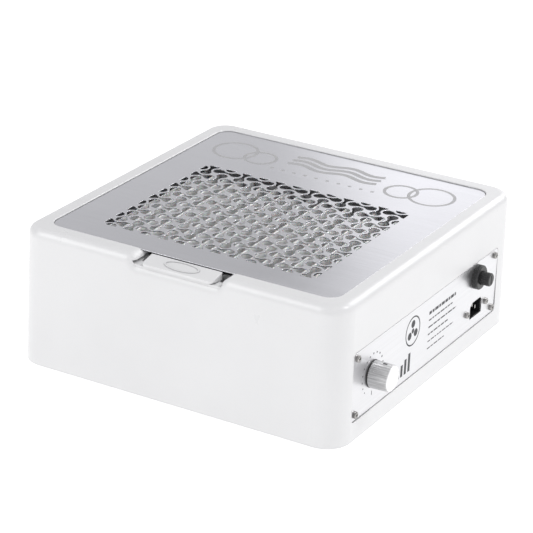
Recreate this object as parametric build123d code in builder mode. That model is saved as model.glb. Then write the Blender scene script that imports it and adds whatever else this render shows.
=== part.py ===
"""Nail dust collector: a table-top extractor with a perforated steel top over a filter and a fan.

Millimetres, +Z up. The model stands on its rubber feet at z = 0. +X is the control panel's side,
-Y is the user's side. The origin is the middle of the whole object's footprint, knob included,
so the housing's own centre lies a little to the left of it, at HOUSING_X.
"""

from build123d import *
import math
import os

os.makedirs("parts", exist_ok=True)

# ------------------------------------------------------------------ driving dimensions
WIDTH = 330.0  # housing, left to right, at its bottom edge
DEPTH = 346.2  # housing, front to back, at its bottom edge
FOOT_HEIGHT = 3.5  # rubber feet, table to base plate
SKIRT_GAP = 2.5  # table to the housing's bottom edge
RIM_TOP = 132.9  # highest point of the housing
PLATE_TOP = 131.7  # top face of the steel grille plate
DRAFT = 0.78  # wall draft, degrees
CORNER = 24.2  # vertical corner radius
EDGE = 8.5  # top edge radius
WALL = 3.0  # housing wall
CLEAR = 0.35  # gap round a let-in panel
SEAT_MARGIN = 8.0  # how much wider the pad behind a let-in panel is than the panel
THROUGH = 25.0  # longer than any wall that a cut goes through
PILOT_R = 1.3  # pilot hole of a small screw
PASS_R = 1.7  # clearance hole of a small screw

PANEL_OUT = 163.9  # control panel's outer face, from the housing's centre
PANEL_SHEET = 1.5  # control panel thickness
KNOB_REACH = 19.5  # knob's end face, out from the control panel
HOUSING_X = -(PANEL_OUT + KNOB_REACH - WIDTH / 2) / 2

# grille plate and its perforation
PLATE_W = 290.4
PLATE_FRONT = -151.2
PLATE_BACK = 151.8
PLATE_R = 13.2
PLATE_SHEET = 0.8
PLATE_GAP = 0.7
PITCH = 18.1
COLUMNS = 12
ROWS = 10
WEB = 2.0
FIELD_BACK = 59.6  # back edge of the perforated field
FIELD_Y = FIELD_BACK - ROWS * PITCH / 2  # middle of the field

# filter cassette
CASSETTE_W = 236.0
CASSETTE_D = 200.0
CASSETTE_BOTTOM = 96.2
FRAME_TOP = 125.0
FRAME_WALL = 5.0
GASKET_W = 7.0
PLEAT_PITCH = 13.1
PLEAT_SHEET = 0.7
PLEAT_TOP = 124.6

# filter tray
TRAY_GAP = 2.5
TRAY_WALL = 2.5
TRAY_FLOOR = 84.0
DECK_UNDER = 127.2  # underside of the housing's top deck
FLANGE_TOP = 119.2

# fan
FAN_R = 78.0
FAN_BOTTOM = 30.0
FAN_TOP = 76.0
BLADES = 11
MOTOR_SHAFT_R = 4.0
RUNNING = 0.04  # radial clearance of a turning fit

# finger notch and lift flap
NOTCH_FLOOR = 125.1
NOTCH_HALF = 39.1  # half-width of the level floor
NOTCH_VALLEY = 5.0  # radius where each end rises from the floor
NOTCH_CREST = 10.5  # radius where each end rolls over into the rim
NOTCH_BACK = -143.0
SLOT_REAR_HALF = 43.8  # outer side of the finger slots beside the flap, at the plate
SLOT_FRONT_HALF = 41.0
SLOT_FRONT = -160.0
SLOT_DEEP = 120.5
FLAP_HALF = 36.0
FLAP_REAR = -152.0
FLAP_TOP = 131.0  # height of its rear edge
FLAP_FRONT = -170.2
FLAP_LOW = 127.4  # height of its front edge
FLAP_SKIN = 2.2
FLAP_CORNER = 5.0
PIN_Y = -163.2
PIN_Z = 123.1
PIN_R = 1.0
BARREL_R = 2.3
WELL_FLOOR = 111.5

# control panel layout: distance along +Y from the housing's centre, height above the table
PANEL_FRONT = -147.5
PANEL_BACK = 138.5
PANEL_LOW = 20.5
PANEL_HIGH = 85.0
PANEL_MID = ((PANEL_FRONT + PANEL_BACK) / 2, (PANEL_LOW + PANEL_HIGH) / 2)
PANEL_L = PANEL_BACK - PANEL_FRONT
PANEL_H = PANEL_HIGH - PANEL_LOW
PANEL_SCREWS = [(-141.5, 26.5), (-141.5, 79.5), (131.0, 26.5), (131.0, 79.5)]
KNOB = (-111.0, 53.5)
INLET = (97.0, 38.0)
FUSE = (94.0, 71.0)
INLET_PITCH = 40.0

# exhaust louvre in the rear wall
LOUVRE_OUT = 171.7  # outer face, from the housing's centre
LOUVRE_W = 176.0
LOUVRE_H = 58.0
LOUVRE_Z = 72.0
LOUVRE_SHEET = 3.0
LOUVRE_FRAME = 26.0  # both side bars of its frame together
LOUVRE_RAIL = 18.0  # its top and bottom bars together
SLATS = 7
SLAT_TILT = -38.0


# ------------------------------------------------------------------ planes
def level(height):
    """A horizontal plane at a height above the table, centred on the housing."""
    return Plane(origin=(HOUSING_X, 0, height))


def side(out):
    """A plane facing +X, out from the control panel's outer face. Its x is +Y and its y is height."""
    return Plane(origin=(HOUSING_X + PANEL_OUT + out, 0, 0), x_dir=(0, 1, 0), z_dir=(1, 0, 0))


def rear(y):
    """A plane facing +Y. Its x is -X from the housing's centre and its y is height."""
    return Plane(origin=(HOUSING_X, y, 0), x_dir=(-1, 0, 0), z_dir=(0, 1, 0))


def across(x):
    """A plane facing +X at a distance from the housing's centre. Its x is +Y and its y is height."""
    return Plane(origin=(HOUSING_X + x, 0, 0), x_dir=(0, 1, 0), z_dir=(1, 0, 0))


# ------------------------------------------------------------------ fasteners
def cross_screws(plane, spots, head_r, head_h, shank_r, shank_l):
    """Identical pan-head screws with a cross recess: heads stand out of the plane, shanks go in."""
    recess = 0.55 * head_h
    with BuildPart() as group:
        with BuildSketch(plane):
            with Locations(*spots):
                Circle(head_r)
        extrude(amount=head_h)
        chamfer(group.edges().filter_by(GeomType.CIRCLE).group_by(SortBy.LENGTH)[-1]
                .sort_by(Axis(plane.origin, plane.z_dir))[-len(spots):], 0.25 * head_h)
        with BuildSketch(plane):
            with Locations(*spots):
                Circle(shank_r)
        extrude(amount=-shank_l)
        with BuildSketch(plane.offset(head_h)):
            with Locations(*spots):
                Rectangle(1.15 * head_r, 0.26 * head_r)
                Rectangle(0.26 * head_r, 1.15 * head_r)
        extrude(amount=-recess, mode=Mode.SUBTRACT)
    return group


def hex_nuts(plane, spots, across_flats, height, bore_r):
    """Identical hexagon nuts standing out of the plane."""
    with BuildPart() as group:
        with BuildSketch(plane):
            with Locations(*spots):
                RegularPolygon(across_flats / 2, 6, major_radius=False)
                Circle(bore_r, mode=Mode.SUBTRACT)
        extrude(amount=height)
    return group


# ------------------------------------------------------------------ housing
NOTCH_DROP = RIM_TOP - NOTCH_FLOOR
NOTCH_ANGLE = math.acos(1 - NOTCH_DROP / (NOTCH_VALLEY + NOTCH_CREST))
NOTCH_MID = NOTCH_HALF + NOTCH_VALLEY * math.sin(NOTCH_ANGLE)
NOTCH_MID_Z = NOTCH_FLOOR + NOTCH_VALLEY * (1 - math.cos(NOTCH_ANGLE))
NOTCH_END = NOTCH_MID + NOTCH_CREST * math.sin(NOTCH_ANGLE)
INSET = (RIM_TOP - SKIRT_GAP) * math.tan(math.radians(DRAFT))


def notch_side(sign):
    """One end of the notch in front view: a valley arc rolling over into a crest arc."""
    half_out = math.sin(NOTCH_ANGLE / 2)
    half_up = 1 - math.cos(NOTCH_ANGLE / 2)
    valley = (sign * (NOTCH_HALF + NOTCH_VALLEY * half_out), NOTCH_FLOOR + NOTCH_VALLEY * half_up)
    crest = (sign * (NOTCH_END - NOTCH_CREST * half_out), RIM_TOP - NOTCH_CREST * half_up)
    ThreePointArc((sign * NOTCH_HALF, NOTCH_FLOOR), valley, (sign * NOTCH_MID, NOTCH_MID_Z))
    ThreePointArc((sign * NOTCH_MID, NOTCH_MID_Z), crest, (sign * NOTCH_END, RIM_TOP))


def on_outline(edge):
    """True for an edge of the housing's outer top outline, along the rim or across the notch."""
    middle = edge @ 0.5
    x = abs(middle.X - HOUSING_X)
    y = abs(middle.Y)
    at_wall = x > WIDTH / 2 - INSET - 0.4 or y > DEPTH / 2 - INSET - 0.4
    at_corner = x > WIDTH / 2 - CORNER and y > DEPTH / 2 - CORNER
    return middle.Z > NOTCH_FLOOR - 0.5 and (at_wall or at_corner)


BOSS_SPOTS = [(-146.5, -153.5), (146.5, -153.5), (-146.5, 153.5), (146.5, 153.5)]
BOSS_R = 4.5
BOSS_TOP = 30.0
BASE_TOP = 6.0
WELL_SIDE = FLAP_HALF + 0.6
WELL_FRONT = -166.3
WELL_BACK = -144.0
WELL_WALL = 2.5
TRAY_BOSSES = [(x, y + FIELD_Y) for x in (-131, 131) for y in (-85, 0, 85)]
MAGNET_SPOTS = [(x, y) for x in (-136, 136) for y in (-142, 142)]
MAGNET_R = 4.0
MAGNET_H = 2.0
LEDGE = PLATE_TOP - PLATE_SHEET
WINDOW = (262.0, 54.5)
WINDOW_MID = (-5.25, 52.75)
LOUVRE_SPOTS = [(x, LOUVRE_Z + z) for x in (-82, 82) for z in (-23, 23)]
RIM_BREAK = 0.5
PANEL_PAD = 4.5
PANEL_R = 4.0
TIE_L = 16.0
TIE_W = 2.4
SEAT_SCREW = 8.0  # depth of the screw holes in the panel's seat

with BuildPart() as finger_slots:
    with BuildSketch(across(-SLOT_REAR_HALF)):
        with BuildLine():
            Polyline((SLOT_FRONT, NOTCH_FLOOR), (PLATE_FRONT, SLOT_DEEP), (WELL_BACK, SLOT_DEEP),
                     (WELL_BACK, RIM_TOP), (SLOT_FRONT, RIM_TOP), close=True)
        make_face()
    extrude(amount=2 * SLOT_REAR_HALF)
    with BuildSketch(level(SLOT_DEEP)):
        with BuildLine():
            Polyline((-SLOT_FRONT_HALF, SLOT_FRONT), (SLOT_FRONT_HALF, SLOT_FRONT),
                     (SLOT_REAR_HALF, PLATE_FRONT), (SLOT_REAR_HALF, WELL_BACK),
                     (-SLOT_REAR_HALF, WELL_BACK), (-SLOT_REAR_HALF, PLATE_FRONT), close=True)
        make_face()
    extrude(amount=RIM_TOP - SLOT_DEEP, mode=Mode.INTERSECT)

with BuildPart() as housing:
    with BuildSketch(level(SKIRT_GAP)):
        RectangleRounded(WIDTH, DEPTH, CORNER)
    extrude(amount=RIM_TOP - SKIRT_GAP, taper=DRAFT)
    # finger notch across the front rim, its ends rolled, under one rounded edge with the rim
    with BuildSketch(Plane(origin=(HOUSING_X, NOTCH_BACK, 0), x_dir=(1, 0, 0), z_dir=(0, -1, 0))):
        with BuildLine():
            Line((-NOTCH_HALF, NOTCH_FLOOR), (NOTCH_HALF, NOTCH_FLOOR))
            notch_side(1)
            Polyline((NOTCH_END, RIM_TOP), (NOTCH_END, RIM_TOP + 5),
                     (-NOTCH_END, RIM_TOP + 5), (-NOTCH_END, RIM_TOP))
            notch_side(-1)
        make_face()
    extrude(amount=DEPTH / 2 + NOTCH_BACK + 5, mode=Mode.SUBTRACT)
    fillet(housing.edges().filter_by(on_outline), EDGE)
    # inside, open below
    with BuildSketch(level(SKIRT_GAP)):
        RectangleRounded(WIDTH - 2 * WALL, DEPTH - 2 * WALL, CORNER - WALL)
    extrude(amount=DECK_UNDER - SKIRT_GAP, taper=DRAFT, mode=Mode.SUBTRACT)
    # block behind the finger notch, pads behind the control panel and the louvre
    with BuildSketch(level(WELL_FLOOR - WELL_WALL)):
        with Locations((0, (WELL_FRONT + WELL_BACK) / 2)):
            Rectangle(2 * NOTCH_END, WELL_BACK - WELL_FRONT + 2 * WELL_WALL)
    extrude(amount=DECK_UNDER - WELL_FLOOR)
    with BuildSketch(side(-PANEL_SHEET)):
        with Locations(PANEL_MID):
            Rectangle(PANEL_L + SEAT_MARGIN, PANEL_H + SEAT_MARGIN)
    extrude(amount=-PANEL_PAD)
    with BuildSketch(rear(LOUVRE_OUT - 1)):
        with Locations((0, LOUVRE_Z)):
            Rectangle(LOUVRE_W + SEAT_MARGIN, LOUVRE_H + SEAT_MARGIN)
    extrude(amount=-LOUVRE_SHEET - 2)
    # screw bosses for the base plate, each tied to both walls of its corner
    with BuildSketch(level(BASE_TOP)):
        with Locations(*BOSS_SPOTS):
            Circle(BOSS_R)
        for x, y in BOSS_SPOTS:
            with Locations((x + math.copysign(TIE_L / 2, x), y)):
                Rectangle(TIE_L, TIE_W)
            with Locations((x, y + math.copysign(TIE_L / 2, y))):
                Rectangle(TIE_W, TIE_L)
    extrude(amount=BOSS_TOP - BASE_TOP)
    # bosses for the filter tray, under the top deck
    with BuildSketch(level(FLANGE_TOP)):
        with Locations(*TRAY_BOSSES):
            Circle(BOSS_R)
    extrude(amount=DECK_UNDER - FLANGE_TOP)
    # recess for the grille plate, with a broken edge, and the opening over the filter
    with BuildSketch(level(LEDGE)):
        with Locations((0, (PLATE_FRONT + PLATE_BACK) / 2)):
            RectangleRounded(PLATE_W + 2 * PLATE_GAP, PLATE_BACK - PLATE_FRONT + 2 * PLATE_GAP,
                             PLATE_R + PLATE_GAP)
    extrude(amount=RIM_TOP - LEDGE, mode=Mode.SUBTRACT)
    with BuildSketch(level(RIM_TOP - RIM_BREAK)):
        with Locations((0, (PLATE_FRONT + PLATE_BACK) / 2)):
            RectangleRounded(PLATE_W + 2 * PLATE_GAP, PLATE_BACK - PLATE_FRONT + 2 * PLATE_GAP,
                             PLATE_R + PLATE_GAP)
    extrude(amount=2 * RIM_BREAK, taper=-45, mode=Mode.SUBTRACT)
    with BuildSketch(level(DECK_UNDER - 5)):
        with Locations((0, FIELD_Y)):
            RectangleRounded(CASSETTE_W + 4, CASSETTE_D + 4, 4)
    extrude(amount=20, mode=Mode.SUBTRACT)
    with BuildSketch(level(LEDGE)):
        with Locations(*MAGNET_SPOTS):
            Circle(MAGNET_R)
    extrude(amount=-MAGNET_H, mode=Mode.SUBTRACT)
    # the well that the flap swings down into, and a finger slot at each side, deeper towards the plate
    with BuildSketch(level(NOTCH_FLOOR)):
        with Locations((0, (WELL_BACK + WELL_FRONT) / 2)):
            Rectangle(2 * WELL_SIDE, WELL_BACK - WELL_FRONT)
    extrude(amount=WELL_FLOOR - NOTCH_FLOOR, mode=Mode.SUBTRACT)
    add(finger_slots.part, mode=Mode.SUBTRACT)
    with BuildSketch(across(-FLAP_HALF - 5)):
        with Locations((PIN_Y, PIN_Z)):
            Circle(PIN_R)
    extrude(amount=2 * FLAP_HALF + 10, mode=Mode.SUBTRACT)
    # let-in seat, window and screw holes of the control panel
    with BuildSketch(side(-PANEL_SHEET)):
        with Locations(PANEL_MID):
            RectangleRounded(PANEL_L + 2 * CLEAR, PANEL_H + 2 * CLEAR, PANEL_R + CLEAR)
    extrude(amount=THROUGH, mode=Mode.SUBTRACT)
    with BuildSketch(side(-20)):
        with Locations(WINDOW_MID):
            RectangleRounded(*WINDOW, WALL)
    extrude(amount=THROUGH, mode=Mode.SUBTRACT)
    with BuildSketch(side(-PANEL_SHEET)):
        with Locations(*PANEL_SCREWS):
            Circle(PILOT_R)
    extrude(amount=-SEAT_SCREW, mode=Mode.SUBTRACT)
    # let-in seat, window and screw holes of the exhaust louvre
    with BuildSketch(rear(LOUVRE_OUT - LOUVRE_SHEET)):
        with Locations((0, LOUVRE_Z)):
            RectangleRounded(LOUVRE_W + 2 * CLEAR, LOUVRE_H + 2 * CLEAR, PANEL_R + CLEAR)
    extrude(amount=THROUGH, mode=Mode.SUBTRACT)
    with BuildSketch(rear(LOUVRE_OUT - 20)):
        with Locations((0, LOUVRE_Z)):
            RectangleRounded(LOUVRE_W - LOUVRE_FRAME + 2, LOUVRE_H - LOUVRE_RAIL + 2, WALL)
    extrude(amount=THROUGH, mode=Mode.SUBTRACT)
    with BuildSketch(rear(LOUVRE_OUT - LOUVRE_SHEET)):
        with Locations(*LOUVRE_SPOTS):
            Circle(PILOT_R)
    extrude(amount=-2 * WALL, mode=Mode.SUBTRACT)
    # pilot holes in the bosses
    with BuildSketch(level(BASE_TOP)):
        with Locations(*BOSS_SPOTS):
            Circle(1.5)
    extrude(amount=12, mode=Mode.SUBTRACT)
    with BuildSketch(level(FLANGE_TOP)):
        with Locations(*TRAY_BOSSES):
            Circle(PILOT_R)
    extrude(amount=7, mode=Mode.SUBTRACT)
housing.part.label = "housing"
export_step(housing.part, "parts/housing.step")

# ------------------------------------------------------------------ base plate and feet
BASE_GAP = 1.0
FOOT_SPOTS = [(x, y) for x in (-128, 128) for y in (-136, 136)]
FOOT_R = 12.0
MOUNT_R = 52.0
MOUNT_SPOTS = [(MOUNT_R * math.cos(math.pi / 4 * k), FIELD_Y + MOUNT_R * math.sin(math.pi / 4 * k))
               for k in (1, 3, 5, 7)]
BOARD_MID = (40.0, 114.0)
BOARD_SIZE = (120.0, 56.0)
BOARD_SPOTS = [(BOARD_MID[0] + x, BOARD_MID[1] + y) for x in (-54, 54) for y in (-22, 22)]
STANDOFF_TOP = 14.0

with BuildPart() as base_plate:
    with BuildSketch(level(FOOT_HEIGHT)):
        RectangleRounded(WIDTH - 2 * WALL - 2 * BASE_GAP, DEPTH - 2 * WALL - 2 * BASE_GAP,
                         CORNER - WALL - BASE_GAP)
    extrude(amount=BASE_TOP - FOOT_HEIGHT)
    with BuildSketch(level(BASE_TOP)):
        with Locations(*FOOT_SPOTS):
            Circle(5)
    extrude(amount=6)
    with BuildSketch(level(FOOT_HEIGHT)):
        with Locations(*BOSS_SPOTS):
            Circle(1.8)
        with Locations(*FOOT_SPOTS):
            Circle(1.5)
        with Locations(*MOUNT_SPOTS):
            Circle(1.8)
        with Locations(*BOARD_SPOTS):
            Circle(1.3)
        with Locations((-62, 105)):
            with GridLocations(12, 38, 8, 2):
                SlotOverall(30, 3.2, rotation=90)
    extrude(amount=20, mode=Mode.SUBTRACT)
base_plate.part.label = "base_plate"
export_step(base_plate.part, "parts/base_plate.step")

base_screws = cross_screws(Plane(origin=(HOUSING_X, 0, FOOT_HEIGHT), x_dir=(1, 0, 0), z_dir=(0, 0, -1)),
                           [(x, -y) for x, y in BOSS_SPOTS], 3.3, 1.9, 1.4, 13)
base_screws.part.label = "base_screws"
export_step(base_screws.part, "parts/base_screws.step")

with BuildPart() as rubber_feet:
    with BuildSketch(level(0)):
        with Locations(*FOOT_SPOTS):
            Circle(FOOT_R)
    extrude(amount=FOOT_HEIGHT)
    chamfer(rubber_feet.edges().filter_by(GeomType.CIRCLE).group_by(Axis.Z)[0], 0.8)
    with BuildSketch(level(0)):
        with Locations(*FOOT_SPOTS):
            Circle(4.5)
    extrude(amount=2, mode=Mode.SUBTRACT)
    with BuildSketch(level(0)):
        with Locations(*FOOT_SPOTS):
            Circle(1.8)
    extrude(amount=FOOT_HEIGHT, mode=Mode.SUBTRACT)
rubber_feet.part.label = "rubber_feet"
export_step(rubber_feet.part, "parts/rubber_feet.step")

foot_screws = cross_screws(Plane(origin=(HOUSING_X, 0, 2), x_dir=(1, 0, 0), z_dir=(0, 0, -1)),
                           [(x, -y) for x, y in FOOT_SPOTS], 3.2, 1.6, 1.5, 9)
foot_screws.part.label = "foot_screws"
export_step(foot_screws.part, "parts/foot_screws.step")

# ------------------------------------------------------------------ grille plate
LOBE_R = (PITCH / 2) / math.sqrt(2) - WEB / 2
WAIST_R = (PITCH / 2) / math.sqrt(2) + WEB / 2


def bone_hole(turned):
    """One hole: two round lobes that run smoothly into the hollow sides of a narrow waist."""
    half = PITCH / 2
    lobe = LOBE_R / math.sqrt(2)
    with BuildSketch() as hole:
        with BuildLine():
            for sx in (1, -1):
                ThreePointArc((sx * (half - lobe), lobe), (sx * (half + LOBE_R), 0),
                              (sx * (half - lobe), -lobe))
            for sy in (1, -1):
                ThreePointArc((half - lobe, sy * lobe), (0, sy * (half - WAIST_R)),
                              (lobe - half, sy * lobe))
        make_face()
    return hole.sketch.rotate(Axis.Z, 90 if turned else 0)


with BuildPart() as grille_plate:
    with BuildSketch(level(LEDGE)):
        with Locations((0, (PLATE_FRONT + PLATE_BACK) / 2)):
            RectangleRounded(PLATE_W, PLATE_BACK - PLATE_FRONT, PLATE_R)
    extrude(amount=PLATE_SHEET)
    with BuildSketch(level(LEDGE)):
        lying = bone_hole(False)
        standing = bone_hole(True)
        for i in range(-1, COLUMNS + 1):
            for j in range(-1, ROWS + 1):
                spot = ((i - (COLUMNS - 1) / 2) * PITCH, FIELD_BACK - (j + 0.5) * PITCH)
                with Locations(spot):
                    add(lying if (i + j) % 2 else standing)
        with Locations((0, FIELD_Y)):
            Rectangle(COLUMNS * PITCH, ROWS * PITCH, mode=Mode.INTERSECT)
    extrude(amount=PLATE_SHEET, mode=Mode.SUBTRACT)
grille_plate.part.label = "grille_plate"
export_step(grille_plate.part, "parts/grille_plate.step")

with BuildPart() as plate_magnets:
    with BuildSketch(level(LEDGE)):
        with Locations(*MAGNET_SPOTS):
            Circle(MAGNET_R)
    extrude(amount=-MAGNET_H)
plate_magnets.part.label = "plate_magnets"
export_step(plate_magnets.part, "parts/plate_magnets.step")

# ------------------------------------------------------------------ filter cassette
INNER_W = CASSETTE_W - 2 * FRAME_WALL
INNER_D = CASSETTE_D - 2 * FRAME_WALL
LIP = 7.0
LIP_H = 2.5
FOLD_R = 0.8

with BuildPart() as filter_frame:
    with BuildSketch(level(CASSETTE_BOTTOM)):
        with Locations((0, FIELD_Y)):
            RectangleRounded(CASSETTE_W, CASSETTE_D, 3)
            Rectangle(INNER_W - 2 * LIP, INNER_D - 2 * LIP, mode=Mode.SUBTRACT)
    extrude(amount=LIP_H)
    with BuildSketch(level(CASSETTE_BOTTOM + LIP_H)):
        with Locations((0, FIELD_Y)):
            RectangleRounded(CASSETTE_W, CASSETTE_D, 3)
            Rectangle(INNER_W, INNER_D, mode=Mode.SUBTRACT)
    extrude(amount=FRAME_TOP - CASSETTE_BOTTOM - LIP_H)
filter_frame.part.label = "filter_frame"
export_step(filter_frame.part, "parts/filter_frame.step")

PLEATS = 17
PLEAT_FOOT = CASSETTE_BOTTOM + LIP_H + 0.5
PLEAT_ENDS = 1.0
# the sharp zigzag that, folded at FOLD_R, just fills the height from PLEAT_FOOT to PLEAT_TOP
FOLD_RISE = PLEAT_TOP - PLEAT_FOOT - PLEAT_SHEET - 2 * FOLD_R
FOLD_REACH = math.hypot(PLEAT_PITCH / 2, FOLD_RISE)
FOLD_ANGLE = math.atan2(PLEAT_PITCH / 2, FOLD_RISE) - math.asin(2 * FOLD_R / FOLD_REACH)
FOLD_APEX = FOLD_R * (1 / math.sin(FOLD_ANGLE) - 1)
ZIG_HIGH = PLEAT_TOP - PLEAT_SHEET / 2 + FOLD_APEX
ZIG_LOW = PLEAT_FOOT + PLEAT_SHEET / 2 - FOLD_APEX

with BuildPart() as filter_media:
    with BuildSketch(Plane(origin=(HOUSING_X, FIELD_Y + (INNER_D - PLEAT_ENDS) / 2, 0),
                           x_dir=(1, 0, 0), z_dir=(0, -1, 0))):
        with BuildLine():
            FilletPolyline([((k - PLEATS) * PLEAT_PITCH / 2, ZIG_LOW if k % 2 else ZIG_HIGH)
                            for k in range(2 * PLEATS + 1)], radius=FOLD_R)
            offset(amount=PLEAT_SHEET / 2, side=Side.BOTH)
        make_face()
        with Locations((0, (PLEAT_TOP + PLEAT_FOOT) / 2)):
            Rectangle(INNER_W - PLEAT_ENDS, PLEAT_TOP - PLEAT_FOOT, mode=Mode.INTERSECT)
    extrude(amount=INNER_D - PLEAT_ENDS)
filter_media.part.label = "filter_media"
export_step(filter_media.part, "parts/filter_media.step")

with BuildPart() as filter_gasket:
    with BuildSketch(level(FRAME_TOP)):
        with Locations((0, FIELD_Y)):
            RectangleRounded(CASSETTE_W, CASSETTE_D, 3)
            RectangleRounded(CASSETTE_W - 2 * GASKET_W, CASSETTE_D - 2 * GASKET_W, 2, mode=Mode.SUBTRACT)
    extrude(amount=LEDGE - FRAME_TOP)
filter_gasket.part.label = "filter_gasket"
export_step(filter_gasket.part, "parts/filter_gasket.step")

# ------------------------------------------------------------------ filter tray and inlet nozzle
TRAY_W = CASSETTE_W + 2 * TRAY_GAP
TRAY_D = CASSETTE_D + 2 * TRAY_GAP
FLANGE_SHEET = 2.5
NOZZLE_R = 52.0
NOZZLE_SPOTS = [(60 * math.cos(math.pi / 3 * k), FIELD_Y + 60 * math.sin(math.pi / 3 * k)) for k in range(6)]

with BuildPart() as filter_tray:
    with BuildSketch(level(TRAY_FLOOR)):
        with Locations((0, FIELD_Y)):
            RectangleRounded(TRAY_W + 2 * TRAY_WALL, TRAY_D + 2 * TRAY_WALL, 5)
    extrude(amount=DECK_UNDER - TRAY_FLOOR)
    with BuildSketch(level(FLANGE_TOP)):
        with Locations((0, FIELD_Y)):
            RectangleRounded(TRAY_W + 2 * TRAY_WALL, TRAY_D + 2 * TRAY_WALL, 5)
        for x, y in TRAY_BOSSES:
            with Locations((x - math.copysign(6, x), y)):
                SlotOverall(30, 16)
    extrude(amount=-FLANGE_SHEET)
    with BuildSketch(level(CASSETTE_BOTTOM)):
        with Locations((0, FIELD_Y)):
            RectangleRounded(TRAY_W, TRAY_D, 3)
    extrude(amount=DECK_UNDER - CASSETTE_BOTTOM, mode=Mode.SUBTRACT)
    with BuildSketch(level(TRAY_FLOOR + TRAY_WALL)):
        with Locations((0, FIELD_Y)):
            RectangleRounded(INNER_W, INNER_D, 3)
    extrude(amount=CASSETTE_BOTTOM - TRAY_FLOOR, mode=Mode.SUBTRACT)
    with BuildSketch(level(TRAY_FLOOR)):
        with Locations((0, FIELD_Y)):
            Circle(NOZZLE_R)
        with Locations(*NOZZLE_SPOTS):
            Circle(1.3)
    extrude(amount=TRAY_WALL, mode=Mode.SUBTRACT)
    with BuildSketch(level(FLANGE_TOP - FLANGE_SHEET)):
        with Locations(*TRAY_BOSSES):
            Circle(PASS_R)
    extrude(amount=FLANGE_SHEET, mode=Mode.SUBTRACT)
filter_tray.part.label = "filter_tray"
export_step(filter_tray.part, "parts/filter_tray.step")

tray_screws = cross_screws(Plane(origin=(HOUSING_X, 0, FLANGE_TOP - FLANGE_SHEET),
                                 x_dir=(1, 0, 0), z_dir=(0, 0, -1)),
                           [(x, -y) for x, y in TRAY_BOSSES], 3.0, 2.0, 1.25, 9)
tray_screws.part.label = "tray_screws"
export_step(tray_screws.part, "parts/tray_screws.step")

with BuildPart() as inlet_nozzle:
    with BuildSketch(Plane(origin=(HOUSING_X, FIELD_Y, 0), x_dir=(1, 0, 0), z_dir=(0, -1, 0))):
        with BuildLine():
            Line((42, 69), (44, 69))
            ThreePointArc((44, 69), (46.4, 77.2), (53, 82))
            Polyline((53, 82), (66, 82), (66, TRAY_FLOOR), (50, TRAY_FLOOR))
            ThreePointArc((50, TRAY_FLOOR), (44.3, 78.2), (42, 69))
        make_face()
    revolve(axis=Axis((HOUSING_X, FIELD_Y, 0), (0, 0, 1)))
    with BuildSketch(level(82)):
        with Locations(*NOZZLE_SPOTS):
            Circle(1.5)
    extrude(amount=2, mode=Mode.SUBTRACT)
inlet_nozzle.part.label = "inlet_nozzle"
export_step(inlet_nozzle.part, "parts/inlet_nozzle.step")

nozzle_screws = cross_screws(Plane(origin=(HOUSING_X, 0, 82), x_dir=(1, 0, 0), z_dir=(0, 0, -1)),
                             [(x, -y) for x, y in NOZZLE_SPOTS], 2.7, 1.8, 1.25, 4.4)
nozzle_screws.part.label = "nozzle_screws"
export_step(nozzle_screws.part, "parts/nozzle_screws.step")

# ------------------------------------------------------------------ fan motor
STATOR_SPOTS = [(26 * math.cos(math.pi / 2 * k), FIELD_Y + 26 * math.sin(math.pi / 2 * k)) for k in range(4)]
BEARING_R = 11.0
TUBE_R = 13.5
BELL_R = 40.0
BELL_SHEET = 2.5
PEDESTAL_FLANGE = 60.0
PEDESTAL_R = 44.0
PEDESTAL_H = 18.0
PEDESTAL_SHEET = 3.0
STATOR_BASE = BASE_TOP + PEDESTAL_H
STATOR_H = 38.0
STATOR_SHEET = 4.0
CORE_R = 36.0
CORE_LOW = 38.0
CORE_H = 20.0
SLOTS = 12
SHAFT_LOW = 25.5
SHAFT_L = 41.0

with BuildPart() as motor_pedestal:
    with BuildSketch(level(BASE_TOP)):
        with Locations((0, FIELD_Y)):
            Circle(PEDESTAL_FLANGE)
    extrude(amount=PEDESTAL_SHEET)
    with BuildSketch(level(BASE_TOP)):
        with Locations((0, FIELD_Y)):
            Circle(PEDESTAL_R)
    extrude(amount=PEDESTAL_H)
    with BuildSketch(level(BASE_TOP)):
        with Locations((0, FIELD_Y)):
            Circle(PEDESTAL_R - PEDESTAL_SHEET)
    extrude(amount=PEDESTAL_H - PEDESTAL_SHEET, mode=Mode.SUBTRACT)
    with BuildSketch(level(BASE_TOP)):
        with Locations((0, FIELD_Y)):
            Circle(8)
        with Locations(*STATOR_SPOTS):
            Circle(PASS_R)
        with Locations(*MOUNT_SPOTS):
            Circle(PASS_R)
    extrude(amount=THROUGH, mode=Mode.SUBTRACT)
motor_pedestal.part.label = "motor_pedestal"
export_step(motor_pedestal.part, "parts/motor_pedestal.step")

pedestal_screws = cross_screws(level(BASE_TOP + PEDESTAL_SHEET), MOUNT_SPOTS, 3.2, 2.2, 1.5, 7)
pedestal_screws.part.label = "pedestal_screws"
export_step(pedestal_screws.part, "parts/pedestal_screws.step")

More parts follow.
